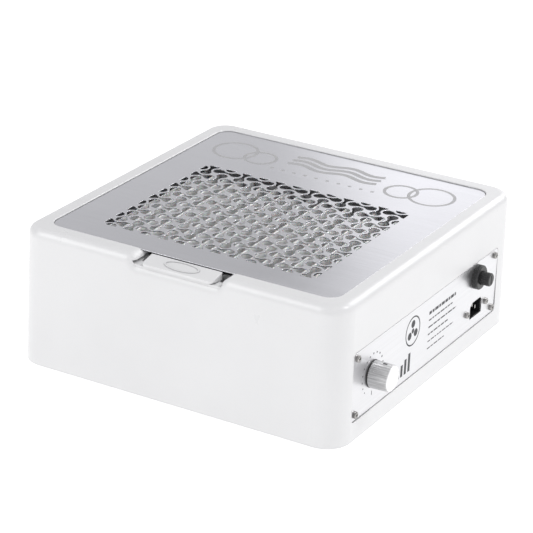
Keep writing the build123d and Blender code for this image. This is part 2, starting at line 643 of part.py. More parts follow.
with BuildPart() as motor_stator:
    with BuildSketch(level(STATOR_BASE)):
        with Locations((0, FIELD_Y)):
            Circle(CORE_R - 3)
    extrude(amount=STATOR_SHEET)
    with BuildSketch(level(STATOR_BASE)):
        with Locations((0, FIELD_Y)):
            Circle(TUBE_R)
    extrude(amount=STATOR_H)
    with BuildSketch(level(CORE_LOW)):
        with Locations((0, FIELD_Y)):
            Circle(CORE_R)
            with PolarLocations(CORE_R - 4, SLOTS):
                SlotCenterToCenter(10, 5, rotation=0, mode=Mode.SUBTRACT)
    extrude(amount=CORE_H)
    with BuildSketch(level(STATOR_BASE)):
        with Locations((0, FIELD_Y)):
            Circle(BEARING_R)
    extrude(amount=STATOR_H, mode=Mode.SUBTRACT)
    with BuildSketch(level(STATOR_BASE)):
        with Locations(*STATOR_SPOTS):
            Circle(PILOT_R)
    extrude(amount=STATOR_SHEET, mode=Mode.SUBTRACT)
motor_stator.part.label = "motor_stator"
export_step(motor_stator.part, "parts/motor_stator.step")

stator_screws = cross_screws(Plane(origin=(HOUSING_X, 0, STATOR_BASE - PEDESTAL_SHEET),
                                   x_dir=(1, 0, 0), z_dir=(0, 0, -1)),
                             [(x, -y) for x, y in STATOR_SPOTS], 2.8, 2.0, 1.3, 6.5)
stator_screws.part.label = "stator_screws"
export_step(stator_screws.part, "parts/stator_screws.step")

with BuildPart() as motor_bearings:
    for height in (26, 53):
        with BuildSketch(level(height)):
            with Locations((0, FIELD_Y)):
                Circle(BEARING_R)
                Circle(MOTOR_SHAFT_R + RUNNING, mode=Mode.SUBTRACT)
        extrude(amount=7)
motor_bearings.part.label = "motor_bearings"
export_step(motor_bearings.part, "parts/motor_bearings.step")

with BuildPart() as motor_shaft:
    with BuildSketch(level(SHAFT_LOW)):
        with Locations((0, FIELD_Y)):
            Circle(MOTOR_SHAFT_R)
    extrude(amount=SHAFT_L)
    chamfer(motor_shaft.edges().filter_by(GeomType.CIRCLE), 0.5)
motor_shaft.part.label = "motor_shaft"
export_step(motor_shaft.part, "parts/motor_shaft.step")

BELL_H = 34.0
BELL_SPOTS = [(45 * math.cos(math.pi / 2 * k), FIELD_Y + 45 * math.sin(math.pi / 2 * k)) for k in range(4)]

with BuildPart() as rotor_bell:
    with BuildSketch(level(FAN_BOTTOM + 2)):
        with Locations((0, FIELD_Y)):
            Circle(49)
    extrude(amount=2)
    with BuildSketch(level(FAN_BOTTOM + 2)):
        with Locations((0, FIELD_Y)):
            Circle(BELL_R)
    extrude(amount=BELL_H)
    fillet(rotor_bell.faces().sort_by(Axis.Z)[-1].edges(), 4)
    with BuildSketch(level(FAN_BOTTOM + 2)):
        with Locations((0, FIELD_Y)):
            Circle(BELL_R - BELL_SHEET)
    extrude(amount=BELL_H - BELL_SHEET, mode=Mode.SUBTRACT)
    with BuildSketch(level(FAN_BOTTOM + 2)):
        with Locations((0, FIELD_Y)):
            Circle(MOTOR_SHAFT_R)
        with Locations(*BELL_SPOTS):
            Circle(1.6)
    extrude(amount=40, mode=Mode.SUBTRACT)
rotor_bell.part.label = "rotor_bell"
export_step(rotor_bell.part, "parts/rotor_bell.step")

with BuildSketch() as blade:
    with BuildLine():
        ThreePointArc((52, 0), (66, 8.5), (FAN_R - 2.5, 23))
    trace(line_width=1.8)

with BuildPart() as impeller:
    with BuildSketch(level(FAN_BOTTOM)):
        with Locations((0, FIELD_Y)):
            Circle(FAN_R)
            Circle(BELL_R - 1.5, mode=Mode.SUBTRACT)
        with Locations(*BELL_SPOTS):
            Circle(1.3, mode=Mode.SUBTRACT)
    extrude(amount=2)
    with BuildSketch(level(FAN_BOTTOM + 1)):
        with Locations((0, FIELD_Y)):
            with PolarLocations(0, BLADES):
                add(blade.sketch)
    extrude(amount=FAN_TOP - FAN_BOTTOM - 2)
    with BuildSketch(level(FAN_TOP - 2)):
        with Locations((0, FIELD_Y)):
            Circle(FAN_R)
            Circle(48, mode=Mode.SUBTRACT)
    extrude(amount=2)
impeller.part.label = "impeller"
export_step(impeller.part, "parts/impeller.step")

impeller_screws = cross_screws(level(FAN_BOTTOM + 4), BELL_SPOTS, 2.6, 1.8, 1.3, 4)
impeller_screws.part.label = "impeller_screws"
export_step(impeller_screws.part, "parts/impeller_screws.step")

# ------------------------------------------------------------------ lift flap
RING_HALF = 17.5
RING_DEEP = 6.8
RING_LINE = 1.4
RING_BACK = 0.6
RIB = 2.0
WEB_HALF = 1.5
SLOPE = math.atan2(FLAP_TOP - FLAP_LOW, FLAP_REAR - FLAP_FRONT)


def flap_top(y):
    """A point of the flap's sloping top, in side view."""
    return (y, FLAP_TOP + (y - FLAP_REAR) * math.tan(SLOPE))


def flap_under(y):
    """The point of the skin's underside below it."""
    return (y, flap_top(y)[1] - FLAP_SKIN)


with BuildPart() as lift_flap:
    with BuildSketch(across(-FLAP_HALF)):
        with BuildLine():
            Polyline(
                flap_top(FLAP_FRONT), flap_top(FLAP_REAR),
                (FLAP_REAR, FLAP_TOP - 2 * FLAP_SKIN), (FLAP_REAR - RIB, FLAP_TOP - 2 * FLAP_SKIN),
                flap_under(FLAP_REAR - RIB), flap_under(PIN_Y + WEB_HALF + 0.5),
                (PIN_Y + WEB_HALF, PIN_Z), (PIN_Y - WEB_HALF, PIN_Z),
                flap_under(PIN_Y - WEB_HALF - 0.5), flap_under(FLAP_FRONT), close=True,
            )
        make_face()
        with Locations((PIN_Y, PIN_Z)):
            Circle(BARREL_R)
    extrude(amount=2 * FLAP_HALF)
    for x in (-FLAP_HALF, FLAP_HALF - RIB):
        with BuildSketch(across(x)):
            with BuildLine():
                Polyline(flap_under(PIN_Y - WEB_HALF), flap_under(FLAP_REAR),
                         (FLAP_REAR, FLAP_TOP - 3 * FLAP_SKIN), (PIN_Y, PIN_Z - 1.2), close=True)
            make_face()
        extrude(amount=RIB)
    # round the front corners in plan
    with BuildSketch(level(PIN_Z - BARREL_R)):
        with Locations((0, (FLAP_FRONT + FLAP_REAR + FLAP_CORNER) / 2)):
            RectangleRounded(2 * FLAP_HALF, FLAP_REAR - FLAP_FRONT + FLAP_CORNER, FLAP_CORNER - 0.5)
        with Locations((0, (FLAP_REAR + PIN_Y) / 2)):
            Rectangle(2 * FLAP_HALF, FLAP_REAR - PIN_Y)
    extrude(amount=RIM_TOP - PIN_Z + BARREL_R, mode=Mode.INTERSECT)
    fillet(lift_flap.edges().filter_by(Axis.X).group_by(Axis.Z)[-1], 0.7)
    fillet(lift_flap.edges().filter_by(Axis.X).group_by(Axis.Y)[0].sort_by(Axis.Z)[-1:], 1.0)
    with BuildSketch(across(-FLAP_HALF)):
        with Locations((PIN_Y, PIN_Z)):
            Circle(PIN_R + 2 * RUNNING)
    extrude(amount=2 * FLAP_HALF, mode=Mode.SUBTRACT)
    ring_mid = flap_top((FLAP_FRONT + FLAP_REAR) / 2)
    with BuildSketch(Plane(origin=(HOUSING_X, *ring_mid), x_dir=(1, 0, 0),
                           z_dir=(0, -math.sin(SLOPE), math.cos(SLOPE)))):
        with Locations((0, RING_BACK)):
            Ellipse(RING_HALF, RING_DEEP)
            Ellipse(RING_HALF - RING_LINE, RING_DEEP - RING_LINE, mode=Mode.SUBTRACT)
    extrude(amount=0.6)
lift_flap.part.label = "lift_flap"
export_step(lift_flap.part, "parts/lift_flap.step")

with BuildPart() as flap_pin:
    with BuildSketch(across(-FLAP_HALF - 5)):
        with Locations((PIN_Y, PIN_Z)):
            Circle(PIN_R)
    extrude(amount=2 * FLAP_HALF + 10)
flap_pin.part.label = "flap_pin"
export_step(flap_pin.part, "parts/flap_pin.step")

SPRING_Y = -157.2
SPRING_R = 2.6
WIRE_R = 0.35
SPRING_TOP = 126.8

with BuildPart() as flap_springs:
    for x in (-20, 20):
        with BuildLine():
            coil = Helix(pitch=2.2, height=SPRING_TOP - WELL_FLOOR - 3 * WIRE_R, radius=SPRING_R,
                         center=(HOUSING_X + x, SPRING_Y, WELL_FLOOR + 1.5 * WIRE_R))
        with BuildSketch(Plane(origin=coil @ 0, z_dir=coil % 0)):
            Circle(WIRE_R)
        sweep(path=coil, is_frenet=True)
flap_springs.part.label = "flap_springs"
export_step(flap_springs.part, "parts/flap_springs.step")

# ------------------------------------------------------------------ control panel
INLET_W = 25.0
INLET_H = 16.0
INLET_CUT = 3.6
INLET_SKIN = 1.6
INLET_FLANGE = 2.5
INLET_L = 22.5
INLET_SPOTS = [(INLET[0] - INLET_PITCH / 2, INLET[1]), (INLET[0] + INLET_PITCH / 2, INLET[1])]


def inlet_face(out, grow):
    """The C14 outline, its two upper corners cut off, grown all round, on a plane of the panel."""
    w = INLET_W / 2 + grow
    h = INLET_H / 2 + grow
    corners = [(-w, -h), (w, -h), (w, h - INLET_CUT),
               (w - INLET_CUT, h), (INLET_CUT - w, h), (-w, h - INLET_CUT)]
    with BuildSketch(side(out)) as opening:
        with BuildLine():
            Polyline([(INLET[0] + u, INLET[1] + v) for u, v in corners], close=True)
        make_face()
    return opening.sketch


with BuildPart() as control_panel:
    with BuildSketch(side(-PANEL_SHEET)):
        with Locations(PANEL_MID):
            RectangleRounded(PANEL_L, PANEL_H, 4)
        with Locations(*PANEL_SCREWS):
            Circle(1.8, mode=Mode.SUBTRACT)
        with Locations(*INLET_SPOTS):
            Circle(1.7, mode=Mode.SUBTRACT)
        with Locations(KNOB):
            Circle(3.7, mode=Mode.SUBTRACT)
        with Locations(FUSE):
            Circle(8.2, mode=Mode.SUBTRACT)
    extrude(amount=PANEL_SHEET)
    extrude(inlet_face(0, 0), amount=-PANEL_SHEET, mode=Mode.SUBTRACT)
control_panel.part.label = "control_panel"
export_step(control_panel.part, "parts/control_panel.step")

panel_screws = cross_screws(side(0), PANEL_SCREWS, 3.2, 2.6, 1.25, 6)
panel_screws.part.label = "panel_screws"
export_step(panel_screws.part, "parts/panel_screws.step")

# speed control: potentiometer, washer, nut and knob
POT_SHAFT_R = 3.0
KNOB_R = 12.4
KNOB_BASE = 1.2
FLUTES = 48
POINTER_OUT = 11.5
GRUB_R = 1.5
GRUB_L = 7.0

with BuildPart() as pot_body:
    with BuildSketch(side(-PANEL_SHEET)):
        with Locations(KNOB):
            RectangleRounded(17, 20, 2)
    extrude(amount=-9)
    with BuildSketch(side(-PANEL_SHEET)):
        with Locations(KNOB):
            Circle(3.5)
    extrude(amount=6)
    with BuildSketch(side(-9)):
        with Locations(KNOB):
            Circle(POT_SHAFT_R + RUNNING)
    extrude(amount=20, mode=Mode.SUBTRACT)
pot_body.part.label = "pot_body"
export_step(pot_body.part, "parts/pot_body.step")

with BuildPart() as dial_washer:
    with BuildSketch(side(0)):
        with Locations(KNOB):
            Circle(12.6)
            Circle(3.7, mode=Mode.SUBTRACT)
    extrude(amount=0.7)
dial_washer.part.label = "dial_washer"
export_step(dial_washer.part, "parts/dial_washer.step")

pot_nut = hex_nuts(side(0.7), [KNOB], 10, 2.2, 3.5)
pot_nut.part.label = "pot_nut"
export_step(pot_nut.part, "parts/pot_nut.step")

with BuildPart() as pot_shaft:
    with BuildSketch(side(-8.5)):
        with Locations(KNOB):
            Circle(POT_SHAFT_R)
    extrude(amount=24.5)
    chamfer(pot_shaft.edges().filter_by(GeomType.CIRCLE).sort_by(Axis.X)[-1], 0.5)
pot_shaft.part.label = "pot_shaft"
export_step(pot_shaft.part, "parts/pot_shaft.step")

with BuildPart() as speed_knob:
    with BuildSketch(Plane(origin=(HOUSING_X + PANEL_OUT, *KNOB), x_dir=(1, 0, 0), z_dir=(0, -1, 0))):
        with BuildLine():
            Polyline((KNOB_BASE, 0), (KNOB_BASE, KNOB_R), (KNOB_REACH - 0.9, KNOB_R - 0.45),
                     (KNOB_REACH, KNOB_R - 1.3), (KNOB_REACH, 0), close=True)
        make_face()
    revolve(axis=Axis((HOUSING_X, *KNOB), (1, 0, 0)))
    with BuildSketch(side(KNOB_BASE)):
        with Locations(KNOB):
            with PolarLocations(KNOB_R + 0.15, FLUTES):
                Circle(0.5)
    extrude(amount=KNOB_REACH - KNOB_BASE - 1.6, mode=Mode.SUBTRACT)
    with BuildSketch(side(KNOB_BASE)):
        with Locations(KNOB):
            Circle(8.5)
    extrude(amount=4.5, mode=Mode.SUBTRACT)
    with BuildSketch(side(KNOB_BASE)):
        with Locations(KNOB):
            Circle(POT_SHAFT_R)
    extrude(amount=14.8, mode=Mode.SUBTRACT)
    with BuildSketch(Plane(origin=(HOUSING_X + PANEL_OUT + 10, *KNOB), x_dir=(1, 0, 0), z_dir=(0, 0, -1))):
        Circle(GRUB_R)
    extrude(amount=20, mode=Mode.SUBTRACT)
    with BuildSketch(Plane(origin=(HOUSING_X + PANEL_OUT + POINTER_OUT, KNOB[0], KNOB[1] + KNOB_R - 1.5))):
        SlotOverall(4.2, 2.2)
    extrude(amount=5, mode=Mode.SUBTRACT)
speed_knob.part.label = "speed_knob"
export_step(speed_knob.part, "parts/speed_knob.step")

with BuildPart() as knob_grub_screw:
    with BuildSketch(Plane(origin=(HOUSING_X + PANEL_OUT + 10, KNOB[0], KNOB[1] - POT_SHAFT_R),
                           x_dir=(1, 0, 0), z_dir=(0, 0, -1))):
        Circle(GRUB_R)
    extrude(amount=GRUB_L)
    with BuildSketch(Plane(origin=(HOUSING_X + PANEL_OUT + 10, KNOB[0], KNOB[1] - POT_SHAFT_R - GRUB_L),
                           x_dir=(1, 0, 0), z_dir=(0, 0, -1))):
        RegularPolygon(0.75, 6, major_radius=False)
    extrude(amount=-2, mode=Mode.SUBTRACT)
knob_grub_screw.part.label = "knob_grub_screw"
export_step(knob_grub_screw.part, "parts/knob_grub_screw.step")

with BuildPart() as knob_pointer:
    with BuildSketch(Plane(origin=(HOUSING_X + PANEL_OUT + POINTER_OUT, KNOB[0], KNOB[1] + KNOB_R - 1.5))):
        SlotOverall(4.2, 2.2)
    extrude(amount=1.35)
knob_pointer.part.label = "knob_pointer"
export_step(knob_pointer.part, "parts/knob_pointer.step")

# mains inlet
with BuildPart() as power_inlet:
    with BuildSketch(side(-PANEL_SHEET)):
        with Locations(INLET):
            RectangleRounded(49.5, 22, 8)
    extrude(amount=-INLET_FLANGE)
    extrude(inlet_face(-PANEL_SHEET, INLET_SKIN), amount=-INLET_L)
    extrude(inlet_face(-PANEL_SHEET, 0), amount=2 - INLET_L, mode=Mode.SUBTRACT)
    with BuildSketch(side(-PANEL_SHEET)):
        with Locations(*INLET_SPOTS):
            Circle(PASS_R)
    extrude(amount=-INLET_FLANGE, mode=Mode.SUBTRACT)
power_inlet.part.label = "power_inlet"
export_step(power_inlet.part, "parts/power_inlet.step")

PIN_SPOTS = [(INLET[0] - 7, INLET[1] - 2), (INLET[0], INLET[1] + 2), (INLET[0] + 7, INLET[1] - 2)]
PIN_END = -3.5

with BuildPart() as inlet_pins:
    with BuildSketch(side(PIN_END)):
        with Locations(*PIN_SPOTS):
            RectangleRounded(2, 4, 0.6)
    extrude(amount=-18.5)
    chamfer(inlet_pins.faces().filter_by(Axis.X).group_by(Axis.X)[-1].edges(), 0.4)
inlet_pins.part.label = "inlet_pins"
export_step(inlet_pins.part, "parts/inlet_pins.step")

inlet_screws = cross_screws(side(0), INLET_SPOTS, 3.1, 2.5, 1.45, 8)
inlet_screws.part.label = "inlet_screws"
export_step(inlet_screws.part, "parts/inlet_screws.step")

inlet_nuts = hex_nuts(side(-6.4), INLET_SPOTS, 5.5, 2.4, 1.45)
inlet_nuts.part.label = "inlet_nuts"
export_step(inlet_nuts.part, "parts/inlet_nuts.step")

# fuse holder
BEZEL_R = 11.6
BEZEL_OUT = 5.6
CAP_R = 6.3
CAP_OUT = 14.8
STEM_R = 4.6
HOLDER_L = 34.0
HOLDER_R = 8.0

with BuildPart() as fuse_holder:
    with BuildSketch(side(0)):
        with Locations(FUSE):
            Circle(BEZEL_R)
    extrude(amount=BEZEL_OUT)
    chamfer(fuse_holder.faces().sort_by(Axis.X)[-1].edges(), 0.9)
    with BuildSketch(side(0)):
        with Locations(FUSE):
            with PolarLocations(BEZEL_R + 0.1, 36):
                Circle(0.45)
    extrude(amount=4.2, mode=Mode.SUBTRACT)
    with BuildSketch(side(0)):
        with Locations(FUSE):
            Circle(HOLDER_R)
    extrude(amount=-HOLDER_L)
    with BuildSketch(side(-24)):
        with Locations(FUSE):
            Circle(STEM_R + RUNNING)
    extrude(amount=40, mode=Mode.SUBTRACT)
    with BuildSketch(side(BEZEL_OUT - 1.2)):
        with Locations(FUSE):
            Circle(CAP_R + 0.5)
    extrude(amount=5, mode=Mode.SUBTRACT)
fuse_holder.part.label = "fuse_holder"
export_step(fuse_holder.part, "parts/fuse_holder.step")

fuse_nut = hex_nuts(side(-PANEL_SHEET - 3.5), [FUSE], 17.5, 3.5, 8)
fuse_nut.part.label = "fuse_nut"
export_step(fuse_nut.part, "parts/fuse_nut.step")

with BuildPart() as fuse_cap:
    with BuildSketch(side(BEZEL_OUT - 0.9)):
        with Locations(FUSE):
            Circle(CAP_R)
    extrude(amount=CAP_OUT - BEZEL_OUT + 0.9)
    chamfer(fuse_cap.faces().sort_by(Axis.X)[-1].edges(), 0.7)
    with BuildSketch(side(BEZEL_OUT + 0.6)):
        with Locations(FUSE):
            with PolarLocations(CAP_R + 0.1, 20):
                Circle(0.5)
    extrude(amount=CAP_OUT - BEZEL_OUT - 2, mode=Mode.SUBTRACT)
    with BuildSketch(side(-4)):
        with Locations(FUSE):
            Circle(STEM_R)
    extrude(amount=8.9)
    with BuildSketch(side(CAP_OUT)):
        with Locations(FUSE):
            Rectangle(1.3, 9)
    extrude(amount=-1, mode=Mode.SUBTRACT)
    with BuildSketch(side(-4)):
        with Locations(FUSE):
            Circle(2.7)
    extrude(amount=4, mode=Mode.SUBTRACT)
fuse_cap.part.label = "fuse_cap"
export_step(fuse_cap.part, "parts/fuse_cap.step")

with BuildPart() as glass_fuse:
    with BuildSketch(side(-21)):
        with Locations(FUSE):
            Circle(2.6)
    extrude(amount=20)
glass_fuse.part.label = "glass_fuse"
export_step(glass_fuse.part, "parts/glass_fuse.step")

# ------------------------------------------------------------------ exhaust louvre
SLAT_W = 6.4
SLAT_SHEET = 1.5
SLAT_TUCK = 0.3  # how far the slats run into the frame

with BuildPart() as exhaust_louvre:
    with BuildSketch(rear(LOUVRE_OUT)):
        with Locations((0, LOUVRE_Z)):
            RectangleRounded(LOUVRE_W, LOUVRE_H, 4)
            RectangleRounded(LOUVRE_W - LOUVRE_FRAME, LOUVRE_H - LOUVRE_RAIL, 2, mode=Mode.SUBTRACT)
        with Locations(*LOUVRE_SPOTS):
            Circle(1.7, mode=Mode.SUBTRACT)
    extrude(amount=-LOUVRE_SHEET)
    chamfer(exhaust_louvre.faces().filter_by(Axis.Y).sort_by(Axis.Y)[-1].outer_wire().edges(), 0.6)
    slat_pitch = (LOUVRE_H - LOUVRE_RAIL) / SLATS
    for k in range(SLATS):
        z = LOUVRE_Z + (k - (SLATS - 1) / 2) * slat_pitch
        with BuildSketch(across(-(LOUVRE_W - LOUVRE_FRAME) / 2 - SLAT_TUCK)):
            with Locations((LOUVRE_OUT - SLAT_W / 2, z)):
                Rectangle(SLAT_W, SLAT_SHEET, rotation=SLAT_TILT)
        extrude(amount=LOUVRE_W - LOUVRE_FRAME + 2 * SLAT_TUCK)
    with BuildSketch(rear(LOUVRE_OUT - 0.4)):
        with Locations(*[(x, LOUVRE_Z) for x in (-37.5, 0, 37.5)]):
            Rectangle(1.6, LOUVRE_H - LOUVRE_RAIL + 2 * SLAT_TUCK)
    extrude(amount=-2.4)
exhaust_louvre.part.label = "exhaust_louvre"
export_step(exhaust_louvre.part, "parts/exhaust_louvre.step")

louvre_screws = cross_screws(rear(LOUVRE_OUT), LOUVRE_SPOTS, 2.8, 1.3, 1.25, 7)
louvre_screws.part.label = "louvre_screws"
export_step(louvre_screws.part, "parts/louvre_screws.step")

# ------------------------------------------------------------------ speed control board
BOARD_SHEET = 1.6
BOARD_TOP = STANDOFF_TOP + BOARD_SHEET

with BuildPart() as board_standoffs:
    with BuildSketch(level(BASE_TOP)):
        with Locations(*BOARD_SPOTS):
            RegularPolygon(2.75, 6, major_radius=False)
            Circle(1.3, mode=Mode.SUBTRACT)
    extrude(amount=STANDOFF_TOP - BASE_TOP)
board_standoffs.part.label = "board_standoffs"
export_step(board_standoffs.part, "parts/board_standoffs.step")

with BuildPart() as control_board:
    with BuildSketch(level(STANDOFF_TOP)):
        with Locations(BOARD_MID):
            RectangleRounded(*BOARD_SIZE, 2)
        with Locations(*BOARD_SPOTS):
            Circle(1.6, mode=Mode.SUBTRACT)
    extrude(amount=BOARD_SHEET)
control_board.part.label = "control_board"
export_step(control_board.part, "parts/control_board.step")

board_screws = cross_screws(level(BOARD_TOP), BOARD_SPOTS, 2.6, 1.8, 1.25, 7)
board_screws.part.label = "board_screws"
export_step(board_screws.part, "parts/board_screws.step")

with BuildPart() as board_components:
    with BuildSketch(level(BOARD_TOP)):
        with Locations((BOARD_MID[0] - 24, BOARD_MID[1] + 8)):
            Rectangle(28, 24)
        with Locations((BOARD_MID[0] + 34, BOARD_MID[1] + 16)):
            Rectangle(22, 8)
    extrude(amount=16)
    with BuildSketch(level(BOARD_TOP)):
        for x in (0, 14):
            with Locations((BOARD_MID[0] + x + 4, BOARD_MID[1] + 10)):
                Circle(5)
    extrude(amount=22)
    with BuildSketch(level(BOARD_TOP)):
        with Locations((BOARD_MID[0] + 10, BOARD_MID[1] - 14)):
            Rectangle(44, 9)
    extrude(amount=11)
board_components.part.label = "board_components"
export_step(board_components.part, "parts/board_components.step")

# heat sink: a finned extrusion standing on the board
with BuildPart() as heat_sink:
    with BuildSketch(level(BOARD_TOP)):
        with Locations((BOARD_MID[0] - 42, BOARD_MID[1] - 14)):
            Rectangle(20, 3)
            with GridLocations(4, 0, 5, 1):
                Rectangle(1.4, 14)
    extrude(amount=24)
heat_sink.part.label = "heat_sink"
export_step(heat_sink.part, "parts/heat_sink.step")

# ------------------------------------------------------------------ internal wiring
WIRE = 1.3
TERMINAL_Z = BOARD_TOP + 11


def wire(points, radius):
    """One insulated wire: straight runs joined by tangent arcs."""
    with BuildPart() as one:
        with BuildLine():
            route = FilletPolyline(*[(HOUSING_X + x, y, z) for x, y, z in points], radius=radius)
        with BuildSketch(Plane(origin=route @ 0, z_dir=route % 0)):
            Circle(WIRE)
        sweep(path=route)
    return one.part


BOARD_Y = BOARD_MID[1] - 14
POT_BACK = PANEL_OUT - PANEL_SHEET - 9

INLET_BACK = PANEL_OUT - PANEL_SHEET - INLET_L
FUSE_TAIL = PANEL_OUT - HOLDER_L

with BuildPart() as wiring:
    add(wire([(68, BOARD_Y, TERMINAL_Z), (68, BOARD_Y, 44), (120, 90, 38), (INLET_BACK, 90, 38)], 6))
    add(wire([(60, BOARD_Y, TERMINAL_Z), (60, BOARD_Y, 58), (108, 94, 71), (FUSE_TAIL, 94, 71)], 8))
    add(wire([(36, BOARD_Y, TERMINAL_Z), (36, BOARD_Y, 42), (16, 74, 30), (8, 40, 12)], 6))
    add(wire([(52, BOARD_Y, TERMINAL_Z), (52, BOARD_Y, 38), (112, 44, 22), (128, -70, 34),
              (POT_BACK - 18, -105, 50), (POT_BACK, -105, 50)], 7))
wiring.part.label = "wiring"
export_step(wiring.part, "parts/wiring.step")
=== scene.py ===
"""The nail dust collector: finishes for the CAD pieces, soft pieces, surface marks and a plain pale studio.

Everything is in metres in the CAD frame. Numbers given in millimetres are multiplied by MM.
"""

import math
import random
import bpy
from mathutils import Matrix, Vector, noise


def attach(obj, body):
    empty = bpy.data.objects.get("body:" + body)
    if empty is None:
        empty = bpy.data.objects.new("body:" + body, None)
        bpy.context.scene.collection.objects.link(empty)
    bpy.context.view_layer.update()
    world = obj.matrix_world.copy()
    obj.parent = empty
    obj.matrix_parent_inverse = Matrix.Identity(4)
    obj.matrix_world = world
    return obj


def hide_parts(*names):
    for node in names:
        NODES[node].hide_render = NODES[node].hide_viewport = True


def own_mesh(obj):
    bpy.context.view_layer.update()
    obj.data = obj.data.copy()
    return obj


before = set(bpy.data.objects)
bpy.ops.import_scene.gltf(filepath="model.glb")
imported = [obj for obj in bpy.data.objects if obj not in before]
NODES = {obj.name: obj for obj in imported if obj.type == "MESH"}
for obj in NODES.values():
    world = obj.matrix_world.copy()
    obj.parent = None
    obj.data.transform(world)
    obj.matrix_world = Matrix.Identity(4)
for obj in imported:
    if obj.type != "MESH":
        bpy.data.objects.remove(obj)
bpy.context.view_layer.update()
MM = 0.001

# the housing's centre line, and the levels and places that the added pieces use (mm)
HOUSING_X = -9.2
PLATE_TOP = 131.7
LEDGE = 130.9  # the underside of the grille plate
FIELD_Y = -30.9
PANEL_FACE = 154.7
KNOB_Y = -111.0
KNOB_Z = 53.5

# finish levels (m): where the knob's end face, painted bright as if lit, turns to the fluted side, painted
# darker as if shaded, and where painted shade darkens the paper's folds below the crests
FACE_EDGE = (0.0112, 0.0118)
CREST_FADE = (0.1205, 0.1232)
FOLD_FADE = (0.112, 0.1215)


# ------------------------------------------------------------------ shader helpers
class Finish:
    """One procedural material on a Principled shader, with short calls for the nodes that it needs."""

    def __init__(self, name, **sockets):
        self.mat = bpy.data.materials.new(name)
        self.mat.use_nodes = True
        self.tree = self.mat.node_tree
        self.shader = self.tree.nodes["Principled BSDF"]
        for socket, value in sockets.items():
            self.shader.inputs[socket.replace("_", " ")].default_value = value
        self.place = self.tree.nodes.new("ShaderNodeTexCoord").outputs["Object"]

    def node(self, kind, **inputs):
        made = self.tree.nodes.new(kind)
        for socket, value in inputs.items():
            self.feed(made.inputs[socket.replace("_", " ")], value)
        return made

    def feed(self, socket, value):
        if isinstance(value, bpy.types.NodeSocket):
            self.tree.links.new(value, socket)
        else:
            socket.default_value = value

    def stretched(self, scale, turn=(0, 0, 0)):
        made = self.node("ShaderNodeMapping", Vector=self.place)
        made.inputs["Scale"].default_value = scale
        made.inputs["Rotation"].default_value = turn
        return made.outputs["Vector"]

    def noise(self, scale, detail=3.0, rough=0.55, place=None):
        made = self.node("ShaderNodeTexNoise", Vector=place or self.place, Scale=scale, Detail=detail,
                         Roughness=rough)
        return made.outputs["Fac"]

    def cells(self, scale, feature="F1", place=None):
        made = self.node("ShaderNodeTexVoronoi", Vector=place or self.place, Scale=scale)
        made.feature = feature
        return made.outputs["Distance"]

    def span(self, value, low, high, to_low=0.0, to_high=1.0):
        made = self.node("ShaderNodeMapRange", Value=value)
        made.inputs["From Min"].default_value = low
        made.inputs["From Max"].default_value = high
        made.inputs["To Min"].default_value = to_low
        made.inputs["To Max"].default_value = to_high
        return made.outputs["Result"]

    def maths(self, kind, a, b):
        made = self.tree.nodes.new("ShaderNodeMath")
        made.operation = kind
        self.feed(made.inputs[0], a)
        self.feed(made.inputs[1], b)
        return made.outputs[0]

    def blend(self, share, a, b):
        made = self.tree.nodes.new("ShaderNodeMix")
        made.data_type = "RGBA"
        self.feed(made.inputs["Factor"], share)
        self.feed(made.inputs["A"], (*a, 1.0) if isinstance(a, tuple) else a)
        self.feed(made.inputs["B"], (*b, 1.0) if isinstance(b, tuple) else b)
        return made.outputs["Result"]

    def colour(self, value):
        self.feed(self.shader.inputs["Base Color"], value)

    def roughness(self, value):
        self.feed(self.shader.inputs["Roughness"], value)

    def relief(self, *layers, edge=0.0):
        """Bump layers, each (height, depth in metres), over edges rounded by a radius in metres."""
        normal = None
        if edge:
            rounded = self.node("ShaderNodeBevel", Radius=edge)
            rounded.samples = 4
            normal = rounded.outputs["Normal"]
        for height, depth in layers:
            made = self.node("ShaderNodeBump", Height=height, Strength=1.0, Distance=depth)
            if normal is not None:
                self.tree.links.new(normal, made.inputs["Normal"])
            normal = made.outputs["Normal"]
        self.tree.links.new(normal, self.shader.inputs["Normal"])

    def crevices(self, reach):
        """0 in the open, 1 in corners and slots, from ambient occlusion: it paints shade there on the shell,
        moulded parts and knob, and tarnish in the recesses of plated parts.
        """
        made = self.node("ShaderNodeAmbientOcclusion", Distance=reach)
        made.samples = 4
        return self.span(made.outputs["AO"], 0.25, 0.9, 1.0, 0.0)

    def edges(self, radius):
        """1 along outer edges and corners, 0 on flat faces, for rubbed edges."""
        rounded = self.node("ShaderNodeBevel", Radius=radius)
        rounded.samples = 4
        face = self.tree.nodes.new("ShaderNodeNewGeometry").outputs["Normal"]
        turn = self.tree.nodes.new("ShaderNodeVectorMath")
        turn.operation = "DOT_PRODUCT"
        self.tree.links.new(rounded.outputs["Normal"], turn.inputs[0])
        self.tree.links.new(face, turn.inputs[1])
        return self.span(turn.outputs["Value"], 0.97, 0.8, 0.0, 1.0)


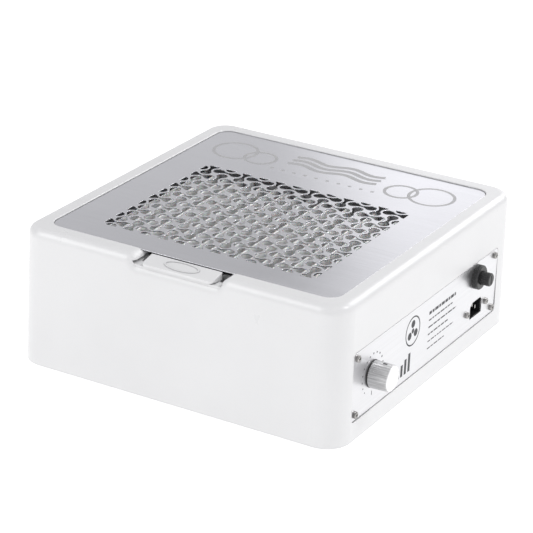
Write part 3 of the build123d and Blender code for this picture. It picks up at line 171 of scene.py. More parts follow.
# ------------------------------------------------------------------ finishes
def white_shell():
    """Glossy white moulded plastic: faint flow clouding, a slight ripple, fine grain, and painted shade
    darkening the gaps and seams.
    """
    f = Finish("white_shell_plastic", IOR=1.5, Coat_Weight=0.3, Coat_Roughness=0.2)
    clouds = f.noise(9.0, 4.0)
    speckle = f.noise(900.0, 2.0)
    clean = f.blend(f.span(clouds, 0.35, 0.65), (0.725, 0.725, 0.73), (0.75, 0.75, 0.755))
    grained = f.blend(f.span(speckle, 0.55, 0.8, 0.0, 0.5), clean, (0.7, 0.7, 0.705))
    # painted shade: the colour darkens where the occlusion mask finds gaps and seams, as if shade fell there
    seam_shaded = f.blend(f.maths("MULTIPLY", f.crevices(0.006), 0.22), grained, (0.52, 0.52, 0.53))
    # painted shade: a stronger, near-black darkening in the tightest seams and gaps
    f.colour(f.blend(f.maths("MULTIPLY", f.crevices(0.0014), 0.75), seam_shaded, (0.16, 0.16, 0.165)))
    smudge = f.noise(26.0, 5.0, 0.6)
    f.roughness(f.span(smudge, 0.3, 0.7, 0.27, 0.38))
    f.relief((f.noise(55.0, 2.0), 0.00008), (f.noise(1500.0, 2.0), 0.00001), edge=0.0005)
    return f.mat


def steel(name, tint, low, high, grain_along, edge=0.0003, scuffs=0.5):
    """Brushed sheet steel: fine grain one way, hazy handling marks, and a few paler scratches."""
    f = Finish(name, Metallic=1.0)
    along = f.stretched(grain_along)
    grain = f.noise(1.0, 6.0, 0.65, along)
    haze = f.noise(14.0, 4.0, 0.6)
    crossing = f.stretched((35.0, 900.0, 900.0), (0.0, 0.0, 0.7))
    scratches = f.span(f.noise(1.0, 2.0, 0.5, crossing), 0.72, 0.78)
    marks = f.maths("MULTIPLY", scratches, scuffs)
    dull = tuple(0.9 * c for c in tint)
    brushed = f.blend(f.span(grain, 0.3, 0.7), dull, tint)
    f.colour(f.blend(f.maths("MULTIPLY", marks, 0.35), brushed, (0.93, 0.93, 0.94)))
    base = f.span(grain, 0.25, 0.75, low, high)
    worn = f.maths("ADD", base, f.span(haze, 0.45, 0.75, 0.0, 0.07))
    f.roughness(f.maths("ADD", worn, f.maths("MULTIPLY", marks, 0.12)))
    f.relief((grain, 0.000012), edge=edge)
    return f.mat


def plated(name, tint, rough=0.28):
    """Plated or turned small metal parts: mottled sheen, tarnish in the recesses."""
    f = Finish(name, Metallic=1.0)
    mottle = f.noise(420.0, 4.0, 0.6)
    bright = f.blend(f.span(mottle, 0.35, 0.7), tuple(0.85 * c for c in tint), tint)
    f.colour(f.blend(f.crevices(0.0015), bright, tuple(0.25 * c for c in tint)))
    f.roughness(f.span(mottle, 0.3, 0.75, rough * 0.75, rough * 1.4))
    f.relief((mottle, 0.00002), edge=0.0002)
    return f.mat


def moulded(name, shade, lighter, rough, grain=1100.0, depth=0.00003, worn=(0.25, 0.25, 0.25), edge=0.0002):
    """Grained moulded plastic or rubber: spark texture, uneven sheen, paler rubbed edges, and painted shade
    darkening the corners.
    """
    f = Finish(name, IOR=1.48)
    patch = f.noise(38.0, 4.0, 0.6)
    body = f.blend(f.span(patch, 0.35, 0.7), shade, lighter)
    rubbed = f.blend(f.maths("MULTIPLY", f.edges(0.0006), 0.35), body, worn)
    # painted shade: the colour darkens in corners and recesses found by the occlusion mask
    f.colour(f.blend(f.maths("MULTIPLY", f.crevices(0.003), 0.3), rubbed, tuple(0.5 * c for c in shade)))
    texture = f.noise(grain, 3.0, 0.6)
    f.roughness(f.span(patch, 0.3, 0.7, rough * 0.85, rough * 1.15))
    f.relief((texture, depth), edge=edge)
    return f.mat


def knob_metal():
    """Turned and fluted aluminium: lathe rings on the end face, which is painted bright as if lit, fluted
    sides painted grey as if shaded, and painted shade dark in the flutes.
    """
    f = Finish("knob_aluminium", Metallic=0.85)
    out = f.node("ShaderNodeVectorMath")
    out.operation = "DISTANCE"
    f.feed(out.inputs[0], f.stretched((0.0, 1.0, 1.0)))
    out.inputs[1].default_value = (0.0, KNOB_Y * MM, KNOB_Z * MM)
    rings = f.node("ShaderNodeTexNoise", Scale=2600.0, Detail=3.0)
    rings.noise_dimensions = "1D"
    f.tree.links.new(out.outputs["Value"], rings.inputs["W"])
    turned = rings.outputs["Fac"]
    # painted light: the end face gets a paler colour than the sides, standing in for the light it catches
    face = f.blend(f.span(turned, 0.3, 0.7), (0.84, 0.84, 0.845), (0.93, 0.93, 0.935))
    drawn = f.noise(1.0, 3.0, 0.6, f.stretched((40.0, 900.0, 900.0)))
    # painted shade: the fluted sides get a darker copy of the same metal, for the shade they lie in
    fluted = f.blend(f.span(drawn, 0.35, 0.65), (0.42, 0.42, 0.425), (0.66, 0.66, 0.665))
    on_side = f.span(out.outputs["Value"], *FACE_EDGE)
    body = f.blend(on_side, face, fluted)
    # painted shade: near-black in the flutes and at the base, where the occlusion mask finds recesses
    f.colour(f.blend(f.maths("MULTIPLY", f.crevices(0.0012), 0.8), body, (0.16, 0.16, 0.165)))
    f.roughness(f.span(f.noise(500.0), 0.3, 0.7, 0.3, 0.36))
    f.relief((turned, 0.000012), edge=0.0001)
    return f.mat


def paper():
    """Pleated synthetic filter paper: fused fibres with a slight gloss, painted light on the crests and
    painted shade darker down in the folds.
    """
    f = Finish("filter_paper", IOR=1.5, Subsurface_Weight=0.08, Subsurface_Scale=0.0015, Coat_Weight=1.0,
               Coat_Roughness=0.07)
    fibres = f.noise(1.0, 5.0, 0.7, f.stretched((900.0, 420.0, 900.0)))
    fleck = f.cells(620.0)
    clean = f.blend(f.span(fibres, 0.3, 0.7), (0.86, 0.86, 0.855), (0.96, 0.96, 0.955))
    flecked = f.blend(f.span(fleck, 0.05, 0.4, 0.3, 0.0), clean, (0.7, 0.7, 0.69))
    height = f.node("ShaderNodeSeparateXYZ", Vector=f.place).outputs["Z"]
    # painted light and shade: the paper is fully bright only at the crests and greyer below them, for the
    # light that reaches the crests
    crest_lit = f.blend(f.span(height, *CREST_FADE, 1.0, 0.0), flecked, (0.7, 0.7, 0.695))
    # painted shade: darker still towards the bottom of the folds, where shade falls under the plate
    f.colour(f.blend(f.span(height, *FOLD_FADE, 0.95, 0.0), crest_lit, (0.42, 0.42, 0.415)))
    f.roughness(f.span(fibres, 0.3, 0.7, 0.26, 0.4))
    f.relief((fleck, 0.00005), (fibres, 0.00004))
    return f.mat


def foam():
    """Closed-cell sealing foam: dark, full of small open bubbles at the cut face."""
    f = Finish("sealing_foam", IOR=1.4)
    pores = f.cells(950.0)
    coarse = f.noise(60.0, 3.0)
    shade = f.blend(f.span(pores, 0.1, 0.6), (0.035, 0.035, 0.038), (0.1, 0.1, 0.105))
    f.colour(f.blend(f.span(coarse, 0.4, 0.7, 0.0, 0.4), shade, (0.13, 0.13, 0.135)))
    f.roughness(f.span(pores, 0.0, 0.6, 0.95, 0.8))
    f.relief((coarse, 0.0004), (pores, 0.0003))
    return f.mat


def board():
    """Green printed circuit board: solder mask over raised copper tracks, glass weave showing faintly."""
    f = Finish("circuit_board", IOR=1.5, Coat_Weight=0.4)
    tracks = f.span(f.cells(160.0, "DISTANCE_TO_EDGE"), 0.05, 0.09, 1.0, 0.0)
    weave = f.noise(1800.0, 2.0)
    mask = f.blend(tracks, (0.012, 0.11, 0.04), (0.03, 0.2, 0.07))
    f.colour(f.blend(f.span(weave, 0.5, 0.8, 0.0, 0.3), mask, (0.05, 0.16, 0.08)))
    f.roughness(f.span(weave, 0.3, 0.7, 0.25, 0.4))
    f.relief((tracks, 0.00004), edge=0.0002)
    return f.mat


def fuse_glass():
    """The fuse's glass tube: clear, very slightly uneven, dusty."""
    f = Finish("fuse_glass", IOR=1.5, Transmission_Weight=0.9)
    waves = f.noise(220.0, 3.0)
    f.colour(f.blend(waves, (0.93, 0.96, 0.95), (1.0, 1.0, 1.0)))
    f.roughness(f.span(waves, 0.3, 0.8, 0.02, 0.12))
    f.relief((waves, 0.00003))
    return f.mat


def insulation():
    """Soft PVC wire insulation: dull, with faint drawing lines along it."""
    f = Finish("wire_insulation", IOR=1.5)
    lines = f.noise(700.0, 3.0)
    run = f.noise(20.0, 2.0)
    f.colour(f.blend(f.span(run, 0.4, 0.6), (0.02, 0.05, 0.2), (0.05, 0.03, 0.02)))
    f.roughness(f.span(lines, 0.3, 0.7, 0.4, 0.6))
    f.relief((lines, 0.00004))
    return f.mat


def ink():
    """Screen-printed dark ink: matt, slightly broken up where it lies thin."""
    f = Finish("printed_ink", IOR=1.45)
    thin = f.noise(1200.0, 4.0, 0.7)
    f.colour(f.blend(f.span(thin, 0.45, 0.8), (0.035, 0.035, 0.04), (0.12, 0.12, 0.125)))
    f.roughness(f.span(thin, 0.3, 0.7, 0.45, 0.65))
    f.relief((thin, 0.00001))
    return f.mat


def etched():
    """Etched steel: matt mid-grey and finely pitted."""
    f = Finish("etched_steel", Metallic=0.55)
    pits = f.noise(1500.0, 4.0, 0.7)
    patches = f.noise(60.0, 3.0)
    frosted = f.blend(f.span(pits, 0.35, 0.7), (0.38, 0.38, 0.39), (0.52, 0.52, 0.53))
    f.colour(f.blend(f.span(patches, 0.4, 0.7, 0.0, 0.3), frosted, (0.5, 0.49, 0.47)))
    f.roughness(f.span(pits, 0.3, 0.7, 0.5, 0.65))
    f.relief((pits, 0.00003))
    return f.mat


WHITE = white_shell()
PLATE_STEEL = steel("plate_steel", (0.74, 0.74, 0.775), 0.12, 0.2, (5.0, 1500.0, 1500.0))
PANEL_STEEL = steel("panel_steel", (0.76, 0.76, 0.775), 0.26, 0.38, (1500.0, 6.0, 1500.0))
PLAIN_STEEL = steel("zinc_sheet", (0.55, 0.56, 0.58), 0.35, 0.5, (60.0, 60.0, 60.0))
FASTENER = plated("plated_fastener", (0.4, 0.39, 0.38), 0.2)
BRASS = plated("turned_brass", (0.78, 0.6, 0.3), 0.3)
KNOB = knob_metal()
FIN = plated("heat_sink_aluminium", (0.7, 0.7, 0.71), 0.4)
BLACK = moulded("black_plastic", (0.012, 0.012, 0.013), (0.02, 0.02, 0.021), 0.38)
GREY = moulded("grey_plastic", (0.3, 0.3, 0.31), (0.36, 0.36, 0.37), 0.5, worn=(0.5, 0.5, 0.5))
RUBBER = moulded("foot_rubber", (0.02, 0.02, 0.02), (0.04, 0.04, 0.04), 0.8, 700.0, 0.00008, (0.1, 0.1, 0.1))
PAPER = paper()
FOAM = foam()
BOARD = board()
GLASS = fuse_glass()
WIRE = insulation()
INK = ink()
ETCH = etched()

FINISHES = [
    (WHITE, "housing lift_flap exhaust_louvre"),
    (PLATE_STEEL, "grille_plate"),
    (PANEL_STEEL, "control_panel"),
    (PLAIN_STEEL, "base_plate motor_pedestal motor_stator rotor_bell"),
    (FASTENER, "base_screws foot_screws plate_magnets tray_screws nozzle_screws pedestal_screws stator_screws"
               " motor_bearings motor_shaft impeller_screws flap_pin panel_screws pot_nut knob_grub_screw"
               " inlet_pins inlet_screws inlet_nuts louvre_screws board_screws"),
    (RUBBER, "rubber_feet"),
    (GREY, "filter_frame pot_body"),
    (PAPER, "filter_media"),
    (BLACK, "filter_tray inlet_nozzle impeller dial_washer knob_pointer power_inlet fuse_holder fuse_nut"
            " fuse_cap board_components"),
    (BRASS, "pot_shaft board_standoffs"),
    (KNOB, "speed_knob"),
    (FIN, "heat_sink"),
    (BOARD, "control_board"),
    (GLASS, "glass_fuse"),
    (WIRE, "wiring"),
]
for finish, names in FINISHES:
    for name in names.split():
        slots = NODES[name].data.materials
        slots.clear()
        slots.append(finish)


# ------------------------------------------------------------------ mesh helpers
LONG_STEP = 6.0  # straight stretches longer than this are divided


def piece(name, points, faces, finish, body, smooth=True):
    """A mesh piece from points in mm in the row frame, riding on a body."""
    mesh = bpy.data.meshes.new(name)
    mesh.from_pydata([(x * MM, y * MM, z * MM) for x, y, z in points], [], faces)
    mesh.materials.append(finish)
    mesh.validate()
    obj = bpy.data.objects.new(name, mesh)
    bpy.context.scene.collection.objects.link(obj)
    if smooth:
        for face in mesh.polygons:
            face.use_smooth = True
    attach(obj, body)
    return obj


def loft(rings, closed_path, capped):
    """Points and faces of a skin over equal rings of points, joined in order."""
    points = [p for ring in rings for p in ring]
    size = len(rings[0])
    faces = []
    for k in range(len(rings) if closed_path else len(rings) - 1):
        a = k * size
        b = (k + 1) % len(rings) * size
        for i in range(size):
            j = (i + 1) % size
            faces.append((a + i, a + j, b + j, b + i))
    if capped:
        faces.append(tuple(reversed(range(size))))
        faces.append(tuple(len(points) - size + i for i in range(size)))
    return points, faces


def gather(parts):
    """Several (points, faces) as one."""
    points, faces = [], []
    for more, sides in parts:
        start = len(points)
        points += more
        faces += [tuple(start + i for i in side) for side in sides]
    return points, faces


def rounded_rectangle(width, depth, radius, steps, centre=(0.0, 0.0)):
    """(point, outward direction) pairs round a rectangle with round corners, straight sides divided too."""
    path = []
    for k in range(4):
        turn = math.pi / 2 * k
        sx, sy = [(1, 1), (-1, 1), (-1, -1), (1, -1)][k]
        cx = centre[0] + sx * (width / 2 - radius)
        cy = centre[1] + sy * (depth / 2 - radius)
        for i in range(steps + 1):
            angle = turn + math.pi / 2 * i / steps
            out = (math.cos(angle), math.sin(angle))
            path.append(((cx + radius * out[0], cy + radius * out[1]), out))
    full = []
    for (p, out), (q, nxt) in zip(path, path[1:] + path[:1]):
        full.append((p, out))
        gap = math.dist(p, q)
        cuts = int(gap // LONG_STEP)
        for i in range(1, cuts):
            share = i / cuts
            full.append(((p[0] + share * (q[0] - p[0]), p[1] + share * (q[1] - p[1])), out))
    return full


def ribbon(path, width, base, thick, closed, place):
    """A thin flat ribbon along 2-D points; place(u, v, height) gives the 3-D point."""
    rings = []
    count = len(path)
    for i, (u, v) in enumerate(path):
        before = path[i - 1] if closed or i else path[0]
        after = path[(i + 1) % count] if closed or i < count - 1 else path[-1]
        du, dv = after[0] - before[0], after[1] - before[1]
        size = math.hypot(du, dv) or 1.0
        nu, nv = -dv / size * width / 2, du / size * width / 2
        rings.append([place(u + nu, v + nv, base), place(u - nu, v - nv, base),
                      place(u - nu, v - nv, base + thick), place(u + nu, v + nv, base + thick)])
    return loft(rings, closed, not closed)


def disc(u, v, radius, base, thick, place, steps=24):
    """A thin flat disc."""
    rings = []
    for height in (base, base + thick):
        rings.append([place(u + radius * math.cos(2 * math.pi * i / steps),
                            v + radius * math.sin(2 * math.pi * i / steps), height) for i in range(steps)])
    return loft(rings, False, True)


# ------------------------------------------------------------------ pleated filter paper
PLEATS = 17
PLEAT_PITCH = 13.1
PLEAT_LOW = 99.4
PLEAT_HIGH = 124.4
PAPER_HALF = 0.32  # half the paper's thickness
FOLD_R = 0.75
PLEAT_SPAN = 188.0
PLEAT_WIDTH = 112.2  # from the middle to the cut edge of the first and last fold
PLEAT_ROWS = 72
FOLD_STEPS = 6
WALL_STEPS = 6
CREST_LEVEL = 112.0  # above it a fold sags a little
SWAY = 0.5
RIPPLE = 0.16
SAG = 0.3
SAG_MEAN = 0.2


def folded_line():
    """Points along the paper's middle, from one cut edge to the other, with their normals."""
    half = PLEAT_PITCH / 2
    rise = PLEAT_HIGH - PLEAT_LOW - 2 * PAPER_HALF - 2 * FOLD_R
    lean = math.atan2(half, rise) - math.asin(2 * FOLD_R / math.hypot(half, rise))
    line = []
    for k in range(2 * PLEATS + 1):
        upper = k % 2 == 0
        x = (k - PLEATS) * half
        z = PLEAT_HIGH - PAPER_HALF - FOLD_R if upper else PLEAT_LOW + PAPER_HALF + FOLD_R
        swing = math.pi / 2 - lean
        first, last = (0.0 if k == 0 else -swing), (0.0 if k == 2 * PLEATS else swing)
        for step in range(FOLD_STEPS + 1):
            turn = first + (last - first) * step / FOLD_STEPS
            nx, nz = math.sin(turn), math.cos(turn)
            if upper:
                line.append(((x + FOLD_R * nx, z + FOLD_R * nz), (nx, nz)))
            else:
                line.append(((x + FOLD_R * nx, z - FOLD_R * nz), (-nx, nz)))
    full = []
    for (p, n), (q, m) in zip(line, line[1:]):
        full.append((p, n))
        if math.dist(p, q) > LONG_STEP:
            for i in range(1, WALL_STEPS):
                share = i / WALL_STEPS
                full.append(((p[0] + share * (q[0] - p[0]), p[1] + share * (q[1] - p[1])), n))
    full.append(line[-1])
    return full


def make_pleats():
    """The folded paper: crests a little uneven along the fold, walls bowed and faintly rippled."""
    line = folded_line()
    rings = []
    for row in range(PLEAT_ROWS + 1):
        y = FIELD_Y + (row / PLEAT_ROWS - 0.5) * PLEAT_SPAN
        ring = []
        for sign in (1, -1):
            for (x, z), (nx, nz) in (line if sign == 1 else reversed(line)):
                fold = round(x / PLEAT_PITCH)
                sway = SWAY * noise.noise(Vector((fold * 3.7, y / 34, 2.0))) * (z - PLEAT_LOW) / 25.0
                ripple = RIPPLE * noise.noise(Vector((x / 5, y / 7, z / 9)))
                sag = SAG * noise.noise(Vector((fold * 5.1, y / 21, 8.0))) - SAG_MEAN
                reach = sign * PAPER_HALF + ripple
                side = max(-PLEAT_WIDTH, min(PLEAT_WIDTH, x + sway + nx * reach))
                top = z + nz * sign * PAPER_HALF + (sag if z > CREST_LEVEL else 0.0)
                ring.append((HOUSING_X + side, y, min(top, PLEAT_HIGH)))
        rings.append(ring)
    points, faces = loft(rings, False, True)
    obj = piece("pleated_paper", points, faces, PAPER, "cassette")
    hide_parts("filter_media")
    return obj


make_pleats()

# ------------------------------------------------------------------ foam seal round the filter frame
SEAL_LOW = 125.0
SEAL_HIGH = LEDGE
SEAL_WIDTH = 7.0
SEAL_CORNER = 1.3
FRAME_WIDTH = 236.0
FRAME_DEPTH = 200.0
FRAME_CORNER = 3.5  # at the middle of the strip
SEAL_GIVE = 0.12  # how unevenly it is pressed


def make_seal():
    """A foam strip with rounded shoulders, pressed a little unevenly."""
    path = rounded_rectangle(FRAME_WIDTH - SEAL_WIDTH, FRAME_DEPTH - SEAL_WIDTH, FRAME_CORNER, 8,
                             (HOUSING_X, FIELD_Y))
    half = SEAL_WIDTH / 2 - 0.1
    corner = SEAL_CORNER
    outline = []
    for cx, cz, start in ((half - corner, SEAL_HIGH - corner, 0), (corner - half, SEAL_HIGH - corner, 90),
                          (corner - half, SEAL_LOW + corner, 180), (half - corner, SEAL_LOW + corner, 270)):
        for step in range(4):
            angle = math.radians(start + 30 * step)
            outline.append((cx + corner * math.cos(angle), cz + corner * math.sin(angle)))
    rings = []
    for k, ((x, y), (ox, oy)) in enumerate(path):
        give = SEAL_GIVE * noise.noise(Vector((x / 9, y / 9, 1.0)))
        rings.append([(x + ox * (u + give), y + oy * (u + give), z - (0.15 + give if z > 128 else 0.0))
                      for u, z in outline])
    points, faces = loft(rings, True, False)
    obj = piece("foam_seal", points, faces, FOAM, "cassette")
    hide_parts("filter_gasket")
    return obj


make_seal()

# ------------------------------------------------------------------ flap return springs
SPRING_LOW = 111.5
SPRING_HIGH = 126.6
SPRING_Y = -157.2
SPRING_OFFSETS = (-20.0, 20.0)  # from the housing's centre line
SPRING_R = 2.6
WIRE_R = 0.35
COILS = 6.5
COIL_STEPS = 22
WIRE_SIDES = 8
CLOSED_ENDS = 1.6  # 0 is even winding, 2 lays the end coils together


def make_springs():
    """Two wound wire springs, their end coils closed up, built at one fixed length."""
    parts = []
    low, high = SPRING_LOW + WIRE_R, SPRING_HIGH - WIRE_R
    count = int(COILS * COIL_STEPS)
    for offset in SPRING_OFFSETS:
        route = []
        for k in range(count + 1):
            share = k / count
            eased = share - math.sin(2 * math.pi * share) * 0.5 / (2 * math.pi) * CLOSED_ENDS
            angle = 2 * math.pi * COILS * share
            route.append(Vector((HOUSING_X + offset + SPRING_R * math.cos(angle),
                                 SPRING_Y + SPRING_R * math.sin(angle), low + (high - low) * eased)))
        rings = []
        for k, p in enumerate(route):
            along = (route[min(k + 1, count)] - route[max(k - 1, 0)]).normalized()
            side = along.cross(Vector((0, 0, 1))).normalized()
            up = side.cross(along)
            rings.append([tuple(p + WIRE_R * (math.cos(a) * side + math.sin(a) * up))
                          for a in (2 * math.pi * i / WIRE_SIDES for i in range(WIRE_SIDES))])
        parts.append(loft(rings, False, True))
    points, faces = gather(parts)
    obj = piece("wound_springs", points, faces, FASTENER, "body")
    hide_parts("flap_springs")
    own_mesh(obj)
    return obj


make_springs()

# ------------------------------------------------------------------ marks on the grille plate and panel
FILM = 0.03  # thickness of an etched or printed mark
SUNK = 0.01  # how far its underside lies below the surface
RING_STEPS = 72

# the motif on the plate, from the housing's centre
RING_LINE = 3.2
RINGS = ((106.0, 108.0, 21.5, FILM), (76.0, 104.0, 15.5, 1.6 * FILM))  # across, back, radius, thickness
WAVES = 3
WAVE_START = -48.0
WAVE_LENGTH = 96.0
WAVE_BACK = 108.0
WAVE_GAP = 9.5
WAVE_SWING = 3.2
WAVE_LINE = 5.6
WAVE_STEPS = 120
DOTS = 10
DOT_START = -54.0
DOT_GAP = 12.0
DOT_BACK = 88.0
DOT_R = 1.9

# the marks on the panel
DIAL_R = 19.0
DIAL_DOTS = 15
DIAL_START = 225
DIAL_SWEEP = 270
DIAL_DOT = 0.7  # radius of the first dot
DIAL_GROWTH = 0.03  # added to each next one
TICK = (20.5, 18.5, 16.5)  # below the knob's centre
TICK_LINE = 1.0
BARS = 5
BAR_START = -68.0
BAR_GAP = 7.0
BAR_LOW = 27.0
BAR_FIRST = 5.0
BAR_GROWTH = 3.2
BAR_LINE = 4.2
FAN_Y = -36.0
FAN_Z = 65.0
FAN_R = 13.5
FAN_LINE = 1.4
FAN_HUB = 2.4
FAN_BLADES = 3
RULES = ((50.0, 3.0), (44.0, 1.4), (52.0, 1.4), (36.0, 1.4), (48.0, 1.1), (30.0, 1.1))  # end, thickness
RULE_START = -4.0
RULE_TOP = 70.0
RULE_PITCH = 7.0
DASH = (3.0, 9.0)
DASH_GAP = 1.4


def on_plate(u, v, height):
    """u to the right and v to the back of the housing's centre, height above the plate."""
    return (HOUSING_X + u, v, PLATE_TOP + height)


def on_panel(u, v, height):
    """u along +Y, v above the table, height out of the panel."""
    return (PANEL_FACE + height, u, v)


def line_mark(path, width, place, thick=FILM):
    """A printed or etched line with two ends."""
    return ribbon(path, width, -SUNK, thick, False, place)


def ring_mark(u, v, radius, width, place, thick=FILM):
    """A printed or etched circle."""
    path = [(u + radius * math.cos(math.radians(360 * k / RING_STEPS)),
             v + radius * math.sin(math.radians(360 * k / RING_STEPS))) for k in range(RING_STEPS)]
    return ribbon(path, width, -SUNK, thick, True, place)


def dot_mark(u, v, radius, place):
    """A printed or etched dot."""
    return disc(u, v, radius, -SUNK, FILM, place)


def make_etching():
    """A plain air-flow motif: a pair of linked rings at each side, waves between them, a row of dots."""
    parts = []
    for side in (-1, 1):
        for across, back_by, radius, thick in RINGS:
            parts.append(ring_mark(side * across, back_by, radius, RING_LINE, on_plate, thick))
    for row in range(WAVES):
        wave = [(WAVE_START + WAVE_LENGTH * k / WAVE_STEPS,
                 WAVE_BACK + WAVE_GAP * row + WAVE_SWING * math.sin(4 * math.pi * k / WAVE_STEPS))
                for k in range(WAVE_STEPS + 1)]
        parts.append(line_mark(wave, WAVE_LINE, on_plate))
    for k in range(DOTS):
        parts.append(dot_mark(DOT_START + DOT_GAP * k, DOT_BACK, DOT_R, on_plate))
    points, faces = gather(parts)
    return piece("plate_etching", points, faces, ETCH, "grille", smooth=False)


def make_print():
    """Dial dots round the knob, rising speed bars, a fan sign, and plain dashed rules further along."""
    parts = []
    for k in range(DIAL_DOTS):
        angle = math.radians(DIAL_START - DIAL_SWEEP * k / (DIAL_DOTS - 1))
        parts.append(dot_mark(KNOB_Y + DIAL_R * math.cos(angle), KNOB_Z + DIAL_R * math.sin(angle),
                              DIAL_DOT + DIAL_GROWTH * k, on_panel))
    parts.append(line_mark([(KNOB_Y, KNOB_Z - drop) for drop in TICK], TICK_LINE, on_panel))
    for k in range(BARS):
        u = BAR_START + BAR_GAP * k
        high = BAR_FIRST + BAR_GROWTH * k
        bar = [(u, BAR_LOW), (u, BAR_LOW + high / 2), (u, BAR_LOW + high)]
        parts.append(line_mark(bar, BAR_LINE, on_panel))
    parts.append(ring_mark(FAN_Y, FAN_Z, FAN_R, FAN_LINE, on_panel))
    parts.append(dot_mark(FAN_Y, FAN_Z, FAN_HUB, on_panel))
    for k in range(FAN_BLADES):
        angle = math.radians(90 + 120 * k)
        parts.append(dot_mark(FAN_Y + 0.5 * FAN_R * math.cos(angle), FAN_Z + 0.5 * FAN_R * math.sin(angle),
                              0.27 * FAN_R, on_panel))
    draw = random.Random(7)
    for row, (end, high) in enumerate(RULES):
        z = RULE_TOP - RULE_PITCH * row
        u = RULE_START
        while u < end:
            last = min(u + draw.uniform(*DASH), end)
            parts.append(line_mark([(u, z), ((u + last) / 2, z), (last, z)], high, on_panel))
            u = last + DASH_GAP
    points, faces = gather(parts)
    return piece("panel_print", points, faces, INK, "body", smooth=False)


make_etching()
make_print()

# ------------------------------------------------------------------ camera
AZIMUTH = 29.18
ELEVATION = 23.19
ROLL = 2.33
DISTANCE = 2.1864
TARGET = Vector((-21.19, 9.89, 67.09)) * MM
SENSOR = 36.0
LENS = 158.82

azimuth, elevation, roll = (math.radians(v) for v in (AZIMUTH, ELEVATION, ROLL))
back = Vector((math.cos(elevation) * math.sin(azimuth), -math.cos(elevation) * math.cos(azimuth),
               math.sin(elevation)))
level_right = (-back).cross(Vector((0, 0, 1))).normalized()
level_up = level_right.cross(-back)
right = math.cos(roll) * level_right + math.sin(roll) * level_up
up = math.cos(roll) * level_up - math.sin(roll) * level_right
eye = TARGET + DISTANCE * back

lens = bpy.data.cameras.new("camera")
lens.sensor_width = SENSOR
lens.lens = LENS
lens.clip_start = 0.05
lens.clip_end = 50.0
camera = bpy.data.objects.new("camera", lens)
camera.matrix_world = Matrix((
    (right.x, up.x, back.x, eye.x),
    (right.y, up.y, back.y, eye.y),
    (right.z, up.z, back.z, eye.z),
    (0, 0, 0, 1),
))
bpy.context.scene.collection.objects.link(camera)
bpy.context.scene.camera = camera


# ------------------------------------------------------------------ studio
def lamp(name, direction, distance, size, watts, diffuse=True):
    """A square soft light in a direction from the object, facing it."""
    light = bpy.data.lights.new(name, "AREA")
    light.shape = "SQUARE"
    light.size = size
    light.energy = watts
    obj = bpy.data.objects.new(name, light)
    way = Vector(direction).normalized()
    obj.location = Vector((0, 0, 0.1)) + way * distance
    obj.rotation_euler = way.to_track_quat("Z", "Y").to_euler()
    obj.visible_camera = False
    obj.visible_diffuse = diffuse
    bpy.context.scene.collection.objects.link(obj)


lamp("key", (0.5, 0.35, 0.75), 2.4, 0.45, 12.0)
lamp("fill", (-0.6, -0.75, 0.4), 3.0, 1.6, 8.0)
lamp("front_sheen", (-0.45, -0.6, 0.66), 1.6, 0.9, 7.0, diffuse=False)
lamp("side_sheen", (0.25, 0.8, 0.5), 1.6, 0.8, 7.0, diffuse=False)

COOL_WHITE = (0.985, 0.985, 1.0, 1.0)

# reflector: a graded sheet beyond the object, which the grille plate mirrors with its fade on the diagonal
CARD_AWAY = 1.5
CARD_LEFT = 0.9
CARD_RIGHT = 1.3
CARD_START = -0.04
CARD_END = 0.17
CARD_DIM = 0.69
CARD_BRIGHT = 1.38
CARD_FRONT = 0.74
FADE_BACK = (-66.0, 150.0)  # where the fade starts on the plate's back and front edges
FADE_FRONT = (121.0, -150.0)
mirrored_eye = Vector((eye.x, eye.y, 2 * PLATE_TOP * MM - eye.z))


def seen_in_plate(u, v, plane_point, plane_normal):
    """The point of a plane that the plate shows at u, v (mm from the housing's centre)."""
    spot = Vector(on_plate(u, v, 0.0)) * MM
    ray = spot - mirrored_eye
    return spot + ray * ((plane_point - spot).dot(plane_normal) / ray.dot(plane_normal))


way = (Vector((0, 0, PLATE_TOP * MM)) - mirrored_eye).normalized()
card_middle = Vector((0, 0, PLATE_TOP * MM)) + way * CARD_AWAY
edge_back = seen_in_plate(*FADE_BACK, card_middle, way)
edge_front = seen_in_plate(*FADE_FRONT, card_middle, way)
along = (edge_back - edge_front).normalized()
out = way.cross(along).normalized()
if out.dot(Vector((1, 0, 0))) < 0:
    out = -out
low = edge_front - along * 0.5
high = edge_back + along * 0.9
corners = [low - out * CARD_LEFT, low + out * CARD_RIGHT, high + out * CARD_RIGHT, high - out * CARD_LEFT]
sheet = bpy.data.meshes.new("reflector")
sheet.from_pydata([tuple(c) for c in corners], [], [(0, 1, 2, 3)])
glow = Finish("reflector", Base_Color=(0, 0, 0, 1), Roughness=1.0)
glow.shader.inputs["Emission Color"].default_value = COOL_WHITE


def along_card(direction, start, end, low_value, high_value):
    """A smooth ramp over the card, between two distances from its front edge point."""
    reach = glow.node("ShaderNodeVectorMath")
    reach.operation = "DOT_PRODUCT"
    glow.feed(reach.inputs[0], glow.place)
    reach.inputs[1].default_value = direction
    offset = edge_front.dot(direction)
    made = glow.node("ShaderNodeMapRange", Value=reach.outputs["Value"])
    made.interpolation_type = "SMOOTHSTEP"
    made.inputs["From Min"].default_value = offset + start
    made.inputs["From Max"].default_value = offset + end
    made.inputs["To Min"].default_value = low_value
    made.inputs["To Max"].default_value = high_value
    return made.outputs["Result"]


edge_length = (edge_back - edge_front).length
glow.feed(glow.shader.inputs["Emission Strength"],
          glow.maths("MULTIPLY", along_card(out, CARD_START, CARD_END, CARD_DIM, CARD_BRIGHT),
                     along_card(along, 0.0, edge_length, CARD_FRONT, 1.0)))
sheet.materials.append(glow.mat)
reflector = bpy.data.objects.new("reflector", sheet)
reflector.visible_camera = False
reflector.visible_diffuse = False
reflector.visible_shadow = False
bpy.context.scene.collection.objects.link(reflector)

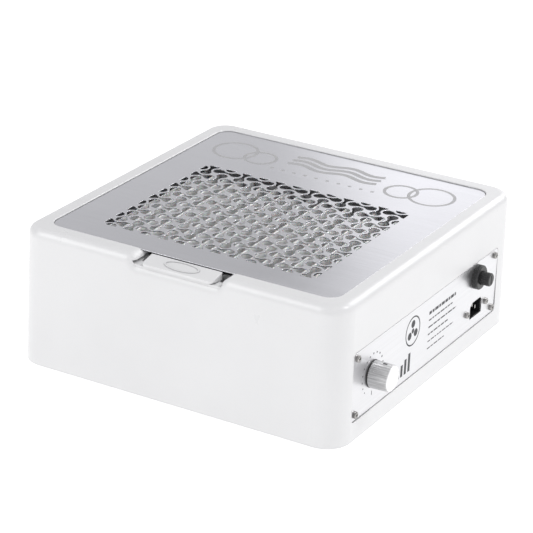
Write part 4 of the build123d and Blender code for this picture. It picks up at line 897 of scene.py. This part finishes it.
# floor: a broad pale sheet
FLOOR = 8.0
floor_mesh = bpy.data.meshes.new("floor")
floor_mesh.from_pydata([(-FLOOR, -FLOOR, 0), (FLOOR, -FLOOR, 0), (FLOOR, FLOOR, 0), (-FLOOR, FLOOR, 0)],
                       [], [(0, 1, 2, 3)])
floor_finish = Finish("floor_paper", Roughness=0.9, Emission_Strength=0.93)
floor_finish.shader.inputs["Emission Color"].default_value = (1, 1, 1, 1)
mottle = floor_finish.noise(40.0, 3.0)
floor_finish.colour(floor_finish.blend(mottle, (0.3, 0.3, 0.3), (0.34, 0.34, 0.34)))
floor_finish.relief((mottle, 0.00005))
floor_mesh.materials.append(floor_finish.mat)
floor = bpy.data.objects.new("floor", floor_mesh)
bpy.context.scene.collection.objects.link(floor)

# surroundings: paler towards the front and above, a little greyer behind and below
world = bpy.data.worlds.new("studio")
bpy.context.scene.world = world
world.use_nodes = True
sky = world.node_tree
backdrop = sky.nodes["Background"]
coords = sky.nodes.new("ShaderNodeTexCoord")
facing = sky.nodes.new("ShaderNodeVectorMath")
facing.operation = "DOT_PRODUCT"
sky.links.new(coords.outputs["Generated"], facing.inputs[0])
facing.inputs[1].default_value = Vector((0.1, -0.5, 0.35)).normalized()
shade = sky.nodes.new("ShaderNodeMapRange")
sky.links.new(facing.outputs["Value"], shade.inputs["Value"])
shade.interpolation_type = "SMOOTHSTEP"
shade.inputs["From Min"].default_value = -0.75
shade.inputs["From Max"].default_value = 0.7
shade.inputs["To Min"].default_value = 0.7
shade.inputs["To Max"].default_value = 0.85
tone = sky.nodes.new("ShaderNodeMix")
tone.data_type = "RGBA"
tone.blend_type = "MULTIPLY"
tone.inputs["Factor"].default_value = 1.0
sky.links.new(shade.outputs["Result"], tone.inputs["A"])
tone.inputs["B"].default_value = COOL_WHITE
sky.links.new(tone.outputs["Result"], backdrop.inputs["Color"])
backdrop.inputs["Strength"].default_value = 1.0

bpy.context.scene.view_settings.view_transform = "Standard"
bpy.context.scene.view_settings.look = "None"
